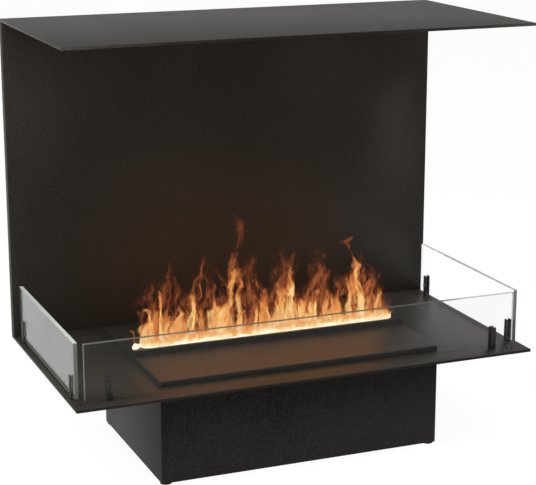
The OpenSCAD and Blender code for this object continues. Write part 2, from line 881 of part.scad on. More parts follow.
// Open trough that holds the shallow water over the discs
module mist_trough() {
    color("#55585c")
    difference() {
        union() {
            block([-trough_x, trough_y0, trough_z], [trough_x, trough_y1, trough_top]);
            block([-tab_x, trough_y0, trough_top - ledge_t],
                  [tab_x, trough_y1, trough_top]);
            translate([pump_x, trough_y0 - spigot_l, delivery_z1]) rotate([-90, 0, 0])
                cylinder(d = spigot_d, h = spigot_l + EPS);
        }
        block([-trough_x + trough_wall, trough_y0 + trough_wall, trough_z + trough_wall],
              [trough_x - trough_wall, trough_y1 - trough_wall, trough_top + EPS]);
        at_discs(trough_z - EPS) cylinder(d = disc_d + 4, h = trough_wall + 2 * EPS);
        for (side = [-1, 1])
            translate([side * fan_x, trough_y1 + EPS, fan_z]) rotate([90, 0, 0])
                cylinder(d = fan_bore, h = trough_wall + 2 * EPS);
        translate([pump_x, trough_y0 - spigot_l - EPS, delivery_z1]) rotate([-90, 0, 0])
            cylinder(d = spigot_d - 2.4, h = spigot_l + trough_wall + 2 * EPS);
    }
}

module disc_housings() {
    color(black_plastic)
    at_discs(trough_z - housing_h)
    difference() {
        cylinder(d = housing_d, h = housing_h);
        translate([0, 0, housing_h - 4]) cylinder(d = disc_d + 0.4, h = 4 + EPS);
        translate([0, 0, 3]) cylinder(d = disc_d - 4, h = housing_h);
    }
}

module mist_discs() {
    color("#e8e4d8")
    at_discs(trough_z - 4) cylinder(d = disc_d, h = 1.2);
}

// Square fan frame: bore, four struts and the bearing plate at the rear
module fan_frame() {
    color(black_plastic)
    difference() {
        union() {
            difference() {
                block([-fan_size / 2, 0, -fan_size / 2], [fan_size / 2, fan_d, fan_size / 2]);
                rotate([-90, 0, 0]) translate([0, 0, -EPS])
                    cylinder(d = fan_bore, h = fan_d + 2 * EPS);
            }
            for (turn = [45 : 90 : 315])
                rotate([0, turn, 0])
                    block([0, fan_d - 2.2, -2], [fan_bore / 2 + EPS, fan_d, 2]);
            rotate([-90, 0, 0]) translate([0, 0, fan_d - 2.6]) cylinder(d = hub_d, h = 2.6);
        }
        rotate([-90, 0, 0]) translate([0, 0, -EPS])
            cylinder(d = shaft_d + 2 * bearing_gap, h = fan_d + 2 * EPS);
    }
}

// Fan rotor: hub, shaft and slanted blades
module fan_rotor() {
    color("#3b3d40")
    rotate([-90, 0, 0]) translate([0, 0, 2.5]) {
        cylinder(d = hub_d - 1, h = rotor_w);
        cylinder(d = shaft_d, h = fan_d - 2.5);
        intersection() {
            cylinder(r = rotor_r, h = rotor_w);
            for (i = [0 : blade_count - 1])
                rotate([0, 0, i * 360 / blade_count])
                    translate([hub_d / 2 - 2, 0, rotor_w / 2])
                        rotate([38, 0, 0])
                            translate([0, -rotor_w * 0.72, -0.6])
                                cube([rotor_r, rotor_w * 1.44, 1.2]);
        }
    }
}

module at_fan(side) {
    translate([side * fan_x, trough_y1, fan_z]) children();
}

// Water system

module water_tank() {
    color("#7f878c")
    difference() {
        union() {
            block([tank_x0, tank_y0, case_floor], [tank_x1, tank_y1, tank_z1]);
            translate([tank_x1 - EPS, tank_mid_y, spigot_z]) rotate([0, 90, 0])
                cylinder(d = spigot_d, h = spigot_l + EPS);
        }
        block([tank_x0 + tank_wall, tank_y0 + tank_wall, case_floor + tank_wall],
              [tank_x1 - tank_wall, tank_y1 - tank_wall, tank_z1 + EPS]);
        translate([tank_x1 - tank_wall - EPS, tank_mid_y, spigot_z]) rotate([0, 90, 0])
            cylinder(d = spigot_d - 2.4, h = spigot_l + tank_wall + 2 * EPS);
    }
}

module tank_lid() {
    color(black_plastic)
    difference() {
        union() {
            block([tank_x0, tank_y0, tank_z1], [tank_x1, tank_y1, lid_top]);
            block([tank_x0 + tank_wall + run_gap, tank_y0 + tank_wall + run_gap, tank_z1 - 3],
                  [tank_x1 - tank_wall - run_gap, tank_y1 - tank_wall - run_gap,
                   tank_z1 + EPS]);
            translate([neck_x, tank_mid_y, tank_z1]) cylinder(d = neck_d, h = lid_t + neck_h);
        }
        translate([neck_x, tank_mid_y, tank_z1 - 3 - EPS])
            cylinder(d = neck_d - 2 * neck_wall, h = lid_t + neck_h + 3 + 2 * EPS);
        translate([float_x, tank_mid_y, tank_z1 - 3 - EPS])
            cylinder(d = stem_d + 2 * run_gap, h = lid_t + 3 + 2 * EPS);
    }
}

// Cap with finger ribs, turned a quarter turn on the filler neck
module filler_cap() {
    outer = neck_d + 2 * (cap_gap + cap_wall);
    color("#2a5fa5")
    translate([neck_x, tank_mid_y, lid_top + run_gap])
    difference() {
        union() {
            cylinder(d = outer, h = neck_h + cap_wall);
            for (i = [0 : 23])
                rotate([0, 0, i * 15]) translate([outer / 2 - 0.5, 0, 0])
                    cylinder(d = 3, h = neck_h + cap_wall - 2, $fn = 16);
        }
        translate([0, 0, -EPS]) cylinder(d = neck_d + 2 * cap_gap, h = neck_h + EPS);
    }
}

// Stem with its lower stop and the sensor head on the lid
module float_stem() {
    color("#c4c6c8")
    translate([float_x, tank_mid_y, 0]) {
        translate([0, 0, stem_z0]) cylinder(d = stem_d, h = lid_top + 4 - stem_z0);
        translate([0, 0, stem_z0]) cylinder(d = stem_stop_d, h = stop_h);
        translate([0, 0, lid_top]) cylinder(d = stem_head_d, h = stem_head_h);
    }
}

module float_ring() {
    color("#e9e9e4")
    translate([float_x, tank_mid_y, stem_z0 + stop_h])
    difference() {
        cylinder(d = float_d, h = float_h);
        translate([0, 0, -EPS]) cylinder(d = stem_d + 4 * run_gap, h = float_h + 2 * EPS);
    }
}

// Small pump: base, round body, two spigots
module feed_pump() {
    body_z = spigot_z;
    color("#2f3134")
    difference() {
        union() {
            block([pump_x - pump_w / 2, tank_mid_y - pump_d / 2, case_floor],
                  [pump_x + pump_w / 2, tank_mid_y + pump_d / 2, case_floor + pump_base_h]);
            translate([pump_x - pump_w / 2 + 2, tank_mid_y, body_z]) rotate([0, 90, 0])
                cylinder(d = pump_d, h = pump_w - 4);
            translate([pump_x + pump_w / 2 - 2 - EPS, tank_mid_y, body_z]) rotate([0, 90, 0])
                cylinder(d = pump_d - 8, h = pump_motor_l + 2 + EPS);
            translate([pump_x - pump_w / 2 + 2 - spigot_l, tank_mid_y, body_z])
                rotate([0, 90, 0]) cylinder(d = spigot_d, h = spigot_l + EPS);
            translate([pump_x, tank_mid_y, body_z]) cylinder(d = spigot_d,
                                                             h = delivery_z0 + 4 - body_z);
        }
        translate([pump_x - pump_w / 2 - spigot_l, tank_mid_y, body_z])
            rotate([0, 90, 0]) cylinder(d = spigot_d - 2.4, h = spigot_l + 8);
        translate([pump_x, tank_mid_y, body_z + 8]) cylinder(d = spigot_d - 2.4,
                                                         h = delivery_z0 - body_z);
    }
}

module hose_ring() {
    difference() {
        circle(d = hose_d);
        circle(d = hose_bore);
    }
}

module suction_hose() {
    x1 = pump_x - pump_w / 2 + 2 - run_gap;
    color("#d8dde0")
    translate([tank_x1 + run_gap, tank_mid_y, spigot_z]) rotate([0, 90, 0])
        linear_extrude(x1 - tank_x1 - run_gap) hose_ring();
}

// Up from the pump, round a bend and level into the trough
module delivery_hose() {
    reach = trough_y0 - run_gap - tank_mid_y - delivery_r;
    color("#d8dde0")
    translate([pump_x, tank_mid_y, delivery_z0]) {
        linear_extrude(6) hose_ring();
        translate([0, delivery_r, 6]) rotate([0, -90, 0]) rotate([0, 0, -90])
            rotate_extrude(angle = 90) translate([delivery_r, 0]) hose_ring();
        translate([0, delivery_r, 6 + delivery_r]) rotate([-90, 0, 0])
            linear_extrude(reach) hose_ring();
    }
}

// Controls

module at_button(i) {
    translate([button_x, tank_mid_y + i * button_pitch, 0]) children();
}

module at_buttons() {
    for (i = [-1 : 1]) at_button(i) children();
}

// Angle plate on the end wall of the case, with three button holes in a row
module control_panel() {
    color("#3c3f42")
    difference() {
        union() {
            block([controls_x0, tank_mid_y - controls_half, panel_z],
                  [controls_x1, tank_mid_y + controls_half, panel_z + controls_t]);
            block([controls_x1 - controls_t, tank_mid_y - controls_half, panel_z - controls_drop],
                  [controls_x1, tank_mid_y + controls_half, panel_z + controls_t]);
        }
        at_buttons() translate([0, 0, panel_z - EPS])
            cylinder(d = button_d + 2 * run_gap, h = controls_t + 2 * EPS);
    }
}

// Board with three switches, hung from the plate by two posts
module button_board() {
    half_l = button_pitch + 7;
    color("#2f6b3a")
    union() {
        block([button_x - 10, tank_mid_y - half_l, board_z],
              [button_x + 10, tank_mid_y + half_l, board_z + board_t]);
        for (i = [-0.5, 0.5]) at_button(i)
            translate([0, 0, board_z]) cylinder(d = 5, h = panel_z - board_z);
        at_buttons()
            block([-3, -3, board_z],
                  [3, 3, switch_top]);
    }
}

module push_button(i, tint) {
    lift = panel_z + controls_t + button_proud;
    stem_z = switch_top + button_travel + run_gap;
    color(tint)
    at_button(i) {
        translate([0, 0, panel_z - run_gap - button_lip])
            cylinder(d = button_d, h = lift - panel_z + run_gap + button_lip);
        translate([0, 0, panel_z - run_gap - button_lip])
            cylinder(d = button_d + 3, h = button_lip);
        translate([0, 0, stem_z]) cylinder(d = 4, h = panel_z - stem_z);
    }
}

// Electronics

// Closed supply with cooling fins on its top
module power_supply() {
    fin_count = 12;
    fin_t = 2;
    fin_h = 8;
    fin_in = 8;
    fin_step = (psu_l - 2 * fin_in - fin_t) / (fin_count - 1);
    color("#8d9194")
    union() {
        block([psu_x0, psu_y0, case_floor], [psu_x0 + psu_l, psu_y1, case_floor + psu_h]);
        for (i = [0 : fin_count - 1])
            translate([psu_x0 + fin_in + i * fin_step, 0, case_floor + psu_h])
                block([0, psu_y0 + fin_in / 2, -EPS], [fin_t, psu_y1 - fin_in / 2, fin_h]);
    }
}

// Board on four standoffs with relays, capacitors and the loom's plug
module control_board() {
    y0 = psu_y0;
    y1 = psu_y1;
    mid_y = (y0 + y1) / 2;
    top = pcb_z + board_t;
    foot_d = 6;
    plug_w = 20;
    plug_h = 8;
    relay_l = 18;
    relay_w = 16;
    relay_h = 15;
    relay_in = 24;
    relay_pitch = 0.19 * pcb_l;
    can_d = 10;
    can_h = 18;
    can_drop = 28;
    strip_l = 40;
    strip_w = 15;
    strip_h = 4;
    strip_x = 30;
    strip_y = 5;
    color("#2f6b3a")
    union() {
        block([pcb_x0, y0, pcb_z], [pcb_x0 + pcb_l, y1, top]);
        for (x = [pcb_x0 + foot_d, pcb_x0 + pcb_l - foot_d], y = [y0 + foot_d, y1 - foot_d])
            translate([x, y, case_floor]) cylinder(d = foot_d, h = pcb_z - case_floor + EPS);
        block([pcb_x0 - plug_in, mid_y - plug_w / 2, case_floor + 0.5],
              [pcb_x0 + plug_in, mid_y + plug_w / 2, top + plug_h]);
        for (i = [0 : 3])
            translate([pcb_x0 + pcb_l / 2 + (i - 1.5) * relay_pitch, y1 - relay_in, top - 0.5]) {
                block([-relay_l / 2, -relay_w / 2, 0], [relay_l / 2, relay_w / 2, relay_h]);
                translate([0, -can_drop, 0]) cylinder(d = can_d, h = can_h);
            }
        block([pcb_x0 + strip_x, y0 + strip_y, top - 0.5],
              [pcb_x0 + strip_x + strip_l, y0 + strip_y + strip_w, top + strip_h]);
    }
}

// Low voltage wires in one sleeve, from the supply to the board
module dc_loom() {
    x0 = psu_x0 + psu_l;
    color(black_plastic)
    translate([x0, (psu_y0 + psu_y1) / 2, case_floor + 0.5 + loom_d / 2])
        rotate([0, 90, 0]) cylinder(d = loom_d, h = pcb_x0 - plug_in - x0);
}

inlet_back = pedestal_d / 2 + rear_t - inlet_depth;

module supply_lead() {
    color(black_plastic)
    translate([inlet_x, psu_y1, inlet_z]) rotate([-90, 0, 0])
        cylinder(d = lead_d, h = inlet_back - psu_y1);
}

// Appliance inlet: flange, socket and three pins; the lead plugs in here
module power_inlet() {
    y = pedestal_d / 2 + rear_t;
    color(black_plastic)
    union() {
        difference() {
            union() {
                block([inlet_x - inlet_w / 2, inlet_back, inlet_z - inlet_h / 2],
                      [inlet_x + inlet_w / 2, y + EPS, inlet_z + inlet_h / 2]);
                block([inlet_x - inlet_flange_w / 2, y, inlet_z - inlet_h / 2 - 2],
                      [inlet_x + inlet_flange_w / 2, y + 2.5, inlet_z + inlet_h / 2 + 2]);
            }
            block([inlet_x - inlet_w / 2 + inlet_wall, inlet_back + 4,
                   inlet_z - inlet_h / 2 + inlet_wall],
                  [inlet_x + inlet_w / 2 - inlet_wall, y + 4,
                   inlet_z + inlet_h / 2 - inlet_wall]);
        }
        for (i = [-1 : 1])
            block([inlet_x + 7 * i - 1, inlet_back + 3, inlet_z - 2 + 2 * (1 - abs(i))],
                  [inlet_x + 7 * i + 1, y - 3, inlet_z + 2 + 2 * (1 - abs(i))]);
    }
}

// Rocker switch: open body and the rocker that tips in it
rocker_w = switch_w - 5;
rocker_h = switch_h - 7;
rocker_y = pedestal_d / 2 + rear_t - 2;
rocker_tilt = 8;
pivot_d = 2.4;
pivot_reach = 1.5;

module switch_body() {
    y = pedestal_d / 2 + rear_t;
    color(black_plastic)
    difference() {
        union() {
            block([switch_x - switch_w / 2, inlet_back + 2, inlet_z - switch_h / 2],
                  [switch_x + switch_w / 2, y + EPS, inlet_z + switch_h / 2]);
            block([switch_x - switch_w / 2 - 1, y, inlet_z - switch_h / 2 - 1],
                  [switch_x + switch_w / 2 + 1, y + 2, inlet_z + switch_h / 2 + 1]);
        }
        block([switch_x - rocker_w / 2 - run_gap, inlet_back + 6,
               inlet_z - rocker_h / 2 - 1],
              [switch_x + rocker_w / 2 + run_gap, y + 3, inlet_z + rocker_h / 2 + 1]);
        translate([switch_x, rocker_y, inlet_z]) rotate([0, 90, 0])
            cylinder(d = pivot_d + 2 * bearing_gap,
                     h = rocker_w + 2 * (run_gap + pivot_reach + bearing_gap), center = true);
    }
}

module switch_rocker() {
    color("#c23a2b")
    translate([switch_x, rocker_y, inlet_z]) rotate([-rocker_tilt, 0, 0]) rotate([0, -90, 0]) {
        linear_extrude(rocker_w, center = true)
            polygon([[-rocker_h / 2 + 0.6, 3.2], [0, 1.2], [rocker_h / 2 - 0.6, 3.2],
                     [rocker_h / 2 - 1.6, -2.5], [3, -5], [-3, -5],
                     [-rocker_h / 2 + 1.6, -2.5]]);
        cylinder(d = pivot_d, h = rocker_w + 2 * (run_gap + pivot_reach), center = true);
    }
}

hearth_plate();
back_panel();
panel_rails();
canopy_plate();
panel_bolts();
canopy_bolts();
pedestal_shell();
base_plate();
foot_pads();
pad_bolts();
frame_bolts();
rear_panel();
rear_panel_screws();
front_glass();
side_glass(-1);  // left_glass
side_glass(1);  // right_glass
front_clips();
left_clips();
right_clips();
clip_liners();
clamp_screws();
clip_bolts();
cassette_case();
front_cover();
cover_bumpers();
rear_cover();
rear_cover_screws();
nozzle_bar();
bar_screws();
mist_throat();
led_rails();
light_guides();
mist_trough();
disc_housings();
mist_discs();
at_fan(-1) fan_frame();  // left_fan_frame
at_fan(-1) fan_rotor();  // left_fan_rotor
at_fan(1) fan_frame();  // right_fan_frame
at_fan(1) fan_rotor();  // right_fan_rotor
water_tank();
tank_lid();
filler_cap();
float_stem();
float_ring();
feed_pump();
suction_hose();
delivery_hose();
control_panel();
button_board();
push_button(-1, "#c23a2b");  // power_button
push_button(0, "#2b2b2b");  // flame_up_button
push_button(1, "#2b2b2b");  // flame_down_button
power_supply();
control_board();
dc_loom();
supply_lead();
power_inlet();
switch_body();
switch_rocker();
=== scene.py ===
import json
import math
import random

import bmesh
import bpy
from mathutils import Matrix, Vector


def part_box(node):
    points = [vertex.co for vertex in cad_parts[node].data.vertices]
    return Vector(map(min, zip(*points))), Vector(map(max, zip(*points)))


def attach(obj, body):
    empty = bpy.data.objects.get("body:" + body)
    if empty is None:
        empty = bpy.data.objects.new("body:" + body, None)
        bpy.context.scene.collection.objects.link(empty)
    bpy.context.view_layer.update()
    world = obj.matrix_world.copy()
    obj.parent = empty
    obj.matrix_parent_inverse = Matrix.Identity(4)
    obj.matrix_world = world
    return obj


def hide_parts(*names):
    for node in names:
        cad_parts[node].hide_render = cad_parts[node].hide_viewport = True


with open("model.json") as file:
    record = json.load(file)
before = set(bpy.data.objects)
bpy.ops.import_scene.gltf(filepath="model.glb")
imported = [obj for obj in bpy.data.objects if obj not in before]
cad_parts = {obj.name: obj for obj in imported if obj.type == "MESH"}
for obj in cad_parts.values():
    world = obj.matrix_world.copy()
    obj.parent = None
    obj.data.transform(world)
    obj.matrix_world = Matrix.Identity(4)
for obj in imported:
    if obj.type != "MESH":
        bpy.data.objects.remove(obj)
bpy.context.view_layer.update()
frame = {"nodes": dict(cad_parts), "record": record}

scene = bpy.context.scene
scene.view_settings.view_transform = "Standard"
mm = 0.001
print("frame loaded:", len(frame["nodes"]), "nodes")

# Camera, at the photograph's place; angles in degrees
view = {"lens": 109.31, "sensor": 36, "place": (-1.2690, -3.1074, 1.2947), "pitch": 14.44,
        "heading": 22.225}
eye = bpy.data.cameras.new("eye")
eye.lens = view["lens"]
eye.sensor_width = view["sensor"]
camera = bpy.data.objects.new("camera", eye)
camera.location = view["place"]
camera.rotation_euler = (math.radians(90 - view["pitch"]), 0, math.radians(-view["heading"]))
scene.collection.objects.link(camera)
scene.camera = camera


# Shader nodes
class Socket:
    # One output of a node; maths on it adds Math nodes
    def __init__(self, finish, output):
        self.finish, self.output = finish, output

    def math(self, operation, *others, clamp=False):
        return self.finish.node("ShaderNodeMath", {"operation": operation, "use_clamp": clamp},
                                dict(enumerate((self,) + others)))

    def __add__(self, other):
        return self.math("ADD", other)

    def __sub__(self, other):
        return self.math("SUBTRACT", other)

    def __mul__(self, other):
        return self.math("MULTIPLY", other)

    def __truediv__(self, other):
        return self.math("DIVIDE", other)

    def __pow__(self, other):
        return self.math("POWER", other)

    def __rsub__(self, other):
        return (self * -1) + other

    __radd__, __rmul__ = __add__, __mul__


class Finish:
    # A material under construction
    def __init__(self, name, owner=None):
        self.made = owner or bpy.data.materials.new(name)
        self.made.use_nodes = True
        self.tree = self.made.node_tree
        self.tree.nodes.clear()

    def node(self, kind, settings=None, inputs=None, out=0):
        made = self.tree.nodes.new(kind)
        for key, value in (settings or {}).items():
            if key == "stops":
                ramp = made.color_ramp
                while len(ramp.elements) > 1:
                    ramp.elements.remove(ramp.elements[-1])
                ramp.elements[0].position, ramp.elements[0].color = value[0]
                for position, colour in value[1:]:
                    ramp.elements.new(position).color = colour
            else:
                setattr(made, key, value)
        for key, value in (inputs or {}).items():
            if isinstance(value, Socket):
                self.tree.links.new(value.output, made.inputs[key])
            else:
                made.inputs[key].default_value = value
        return Socket(self, made.outputs[out]) if made.outputs else made

    def parts(self, vector):
        # The three numbers of a vector
        first = self.node("ShaderNodeSeparateXYZ", {}, {"Vector": vector})
        return [Socket(self, output) for output in first.output.node.outputs]

    def join(self, x, y, z):
        return self.node("ShaderNodeCombineXYZ", {}, {0: x, 1: y, 2: z})

    def attribute(self, name):
        return self.parts(self.node("ShaderNodeAttribute", {"attribute_name": name},
                                    out="Vector"))

    def ray(self, kind):
        # 1 where the ray is of this kind
        return self.node("ShaderNodeLightPath", out="Is " + kind + " Ray")

    def place(self, scale=(1, 1, 1)):
        # Object coordinates in metres, scaled
        spot = self.node("ShaderNodeTexCoord", out="Object")
        return self.node("ShaderNodeMapping", {"vector_type": "POINT"},
                         {"Vector": spot, "Scale": scale})

    def noise(self, scale, detail=2, rough=0.5, where=None, warp=0):
        return self.node("ShaderNodeTexNoise", {"noise_dimensions": "3D"},
                         {"Vector": where or self.place(), "Scale": scale, "Detail": detail,
                          "Roughness": rough, "Distortion": warp})

    def between(self, value, low, high, toLow=0, toHigh=1):
        return self.node("ShaderNodeMapRange", {"interpolation_type": "SMOOTHSTEP"},
                         {"Value": value, "From Min": low, "From Max": high,
                          "To Min": toLow, "To Max": toHigh})

    def mix(self, factor, a, b):
        return self.node("ShaderNodeMix", {"data_type": "RGBA"}, {0: factor, 6: a, 7: b}, out=2)

    def bump(self, height, strength, depth):
        return self.node("ShaderNodeBump", {}, {"Height": height, "Strength": strength,
                                                "Distance": depth})

    def surface(self, **sockets):
        shader = self.node("ShaderNodeBsdfPrincipled", {},
                           {name.replace("_", " "): value for name, value in sockets.items()})
        return self.close(shader)

    def close(self, shader):
        self.node("ShaderNodeOutputMaterial", {}, {"Surface": shader})
        return self.made


def rgb(red, green, blue):
    return (red, green, blue, 1)


def shade(colour, share):
    return rgb(*(c * share for c in colour[:3]))


# Powder coat: coarse and fine grain, a little orange peel
def makePowderCoat(name, tone, rough, sheen):
    f = Finish(name)
    grain = f.noise(760, 2, 0.6)
    speck = f.noise(300, 2, 0.7)
    drift = f.noise(4, 2)
    tint = f.between(speck * 0.62 + grain * 0.26 + drift * 0.12, 0.36, 0.64)
    return f.surface(Base_Color=f.mix(tint, shade(tone, 0.3), shade(tone, 1.9)),
                     Roughness=f.between(speck, 0.3, 0.7, rough - 0.08, rough + 0.08),
                     Specular_IOR_Level=sheen,
                     Normal=f.bump(speck * 0.6 + grain * 0.4, 0.75, 0.0006))


# Zinc plate: pale crystals with a faint rolling direction
def makePlated(name, tone, rough):
    f = Finish(name)
    flake = f.node("ShaderNodeTexVoronoi", {"feature": "F1"},
                   {"Vector": f.place(), "Scale": 130}, out="Color")
    cell = f.node("ShaderNodeSeparateColor", {}, {"Color": flake})
    streak = f.noise(1, 2, 0.6, f.place((14, 260, 260)))
    blend = f.between(cell * 0.45 + streak * 0.55, 0.2, 0.8)
    return f.surface(Base_Color=f.mix(blend, shade(tone, 0.72), tone), Metallic=1,
                     Roughness=f.between(blend, 0, 1, rough + 0.1, rough - 0.05),
                     Normal=f.bump(streak, 0.15, 0.0001))


# Brushed metal: fine lines along one axis
def makeBrushed(name, tone, rough, lines):
    f = Finish(name)
    line = f.noise(1, 3, 0.7, f.place(lines))
    cloud = f.noise(14, 2)
    return f.surface(Base_Color=f.mix(line, shade(tone, 0.78), tone), Metallic=1,
                     Roughness=f.between(line * 0.7 + cloud * 0.3, 0.25, 0.75,
                                         rough - 0.08, rough + 0.1),
                     Normal=f.bump(line, 0.2, 0.00008))


# Moulded plastic or rubber: spark-eroded grain and slight flow marks
def makeMoulded(name, tone, rough, grainScale=900, depth=0.00012, **more):
    f = Finish(name)
    grain = f.noise(grainScale, 2, 0.6)
    flow = f.noise(28, 2, 0.5, f.place((1, 2.2, 0.6)), 0.8)
    tint = f.mix(f.between(flow, 0.3, 0.7), shade(tone, 0.86), shade(tone, 1.08))
    return f.surface(Base_Color=tint,
                     Roughness=f.between(grain, 0.3, 0.7, rough - 0.05, rough + 0.07),
                     Normal=f.bump(grain, 0.3, depth), **more)


# Pane faces: glass that mirrors by Fresnel, and bends the view where bend is over 1
glassDensity = 1.5


def makePaneFace(name, tone, mirror, bend):
    f = Finish(name)
    smear = f.noise(9, 3, 0.6, f.place((1, 1, 2.4)))
    density = glassDensity
    if bend == 1:  # unbent rays meet the inner face as steeply as the outer one
        inside = f.node("ShaderNodeNewGeometry", out="Backfacing")
        density = glassDensity - inside * (glassDensity - 1 / glassDensity)
    gloss = f.node("ShaderNodeFresnel", {}, {"IOR": density}) * mirror
    lampRay = f.ray("Shadow")
    clear = f.node("ShaderNodeBsdfTransparent", {}, {"Color": tone})
    if bend > 1:
        bent = f.node("ShaderNodeBsdfRefraction", {},
                      {"Color": tone, "Roughness": 0, "IOR": bend})
        clear = f.node("ShaderNodeMixShader", {}, {0: lampRay, 1: bent, 2: clear})
    shine = f.node("ShaderNodeBsdfGlossy", {}, {"Color": rgb(1, 1, 1), "Roughness": 0.015})
    share = gloss * (1 - lampRay) * f.between(smear, 0.2, 0.8, 0.94, 1.06)
    return f.close(f.node("ShaderNodeMixShader", {}, {0: share, 1: clear, 2: shine}))


# Ground rim of a pane: grey green, partly see-through. The last argument, if given, is how solid
# the rim is at the pane's right end, which it reaches between these two places along the pane:
# painted refraction, the rim made more see-through there to stand in for the white light that the
# edge bends in from the floor
paintedRefractionFrom, paintedRefractionTo = 0.30, 0.37


def makePaneRim(name, tone, solid, paintedRefractionSolid=None):
    f = Finish(name)
    wear = f.noise(1200, 2, 0.6)
    lampRay = f.ray("Shadow")
    clear = f.node("ShaderNodeBsdfTransparent", {}, {"Color": rgb(0.88, 0.915, 0.90)})
    ground = f.node("ShaderNodeBsdfPrincipled", {},
                    {"Base Color": f.mix(wear, shade(tone, 0.86), tone), "Roughness": 0.4,
                     "Specular IOR Level": 0.15})
    share = f.between(wear, 0.2, 0.8, solid - 0.04, solid + 0.04) * (1 - lampRay)
    # painted refraction: toward the pane's right end the rim turns more see-through, standing in
    # for refracted white light
    if paintedRefractionSolid:
        share = share * f.between(f.parts(f.place())[0], paintedRefractionFrom, paintedRefractionTo, 1, paintedRefractionSolid / solid)
    return f.close(f.node("ShaderNodeMixShader", {}, {0: share, 1: clear, 2: ground}))


# Acrylic guide, lit from its rail; brighter over each lamp
def makeLitGuide(name):
    f = Finish(name)
    lamp = f.node("ShaderNodeTexWave", {"wave_type": "BANDS", "bands_direction": "X"},
                  {"Vector": f.place(), "Scale": 9, "Distortion": 0.4, "Detail": 1})
    glow = f.mix(lamp, rgb(1.0, 0.50, 0.16), rgb(1.0, 0.80, 0.45))
    return f.surface(Base_Color=rgb(0.9, 0.6, 0.3), Roughness=0.4, Emission_Color=glow,
                     Emission_Strength=1.3)


# Circuit board: green lacquer with traces; relays and parts stand above it
def makeBoard(name, top):
    f = Finish(name)
    height = f.parts(f.place())[2]
    trace = f.node("ShaderNodeTexBrick", {"offset": 0.5, "squash": 1},
                   {"Vector": f.place(), "Scale": 95, "Mortar Size": 0.06,
                    "Color1": rgb(0.012, 0.085, 0.03), "Color2": rgb(0.016, 0.11, 0.04),
                    "Mortar": rgb(0.05, 0.21, 0.08)}, out="Color")
    part = f.mix(f.between(f.noise(60, 1), 0.45, 0.55), rgb(0.03, 0.03, 0.035),
                 rgb(0.10, 0.10, 0.11))
    above = f.between(height, top, top + 0.0002)
    return f.surface(Base_Color=f.mix(above, trace, part), Roughness=0.38, Coat_Weight=0.3)


# Woven sleeve: two crossing sets of strands
def makeSleeve(name):
    f = Finish(name)
    one = f.node("ShaderNodeTexWave", {"bands_direction": "DIAGONAL"},
                 {"Vector": f.place(), "Scale": 420})
    two = f.node("ShaderNodeTexWave", {"bands_direction": "DIAGONAL"},
                 {"Vector": f.place((1, -1, -1)), "Scale": 420})
    strand = one.math("MAXIMUM", two)
    return f.surface(Base_Color=f.mix(strand, rgb(0.006, 0.006, 0.007), rgb(0.035, 0.035, 0.038)),
                     Roughness=0.6, Normal=f.bump(strand, 0.6, 0.0003))


# Flame colours by heat, from red brown through orange to pale yellow
flameStops = [(0.06, rgb(0.17, 0.036, 0.017)), (0.28, rgb(0.43, 0.092, 0.034)),
              (0.46, rgb(0.70, 0.185, 0.056)), (0.62, rgb(0.86, 0.290, 0.080)),
              (0.76, rgb(0.94, 0.430, 0.115)), (0.88, rgb(0.98, 0.60, 0.21)),
              (1.00, rgb(1.0, 0.86, 0.52))]


def glowing(f, heat, cover):
    colour = f.node("ShaderNodeValToRGB", {"stops": flameStops}, {"Fac": heat}, out="Color")
    return f.surface(Base_Color=rgb(0, 0, 0), Roughness=1, Specular_IOR_Level=0,
                     Emission_Color=colour, Emission_Strength=1.0,
                     Alpha=cover.math("MINIMUM", 1, clamp=True))


def ridges(value, steep):
    # Bright threads where a noise crosses its middle
    return (1 - (value - 0.5).math("ABSOLUTE") * steep).math("MAXIMUM", 0) ** 1.4


# Noise cells per metre across and up a tongue, its edge and tip, and how solid each part is
flameLook = {"sway": (34, 27), "bend": (1.3, 2.2), "drift": 0.016, "flow": (76, 25),
             "pinch": 30, "narrow": (0.55, 1.1), "edge": 0.75, "tip": (0.5, 1.04),
             "thin": 0.13, "body": 0.83, "thread": 0.30, "rim": 0.2, "solid": 0.95,
             "bed": (0.004, 0.026), "low": (0.01, 0.08), "hottest": 0.9}


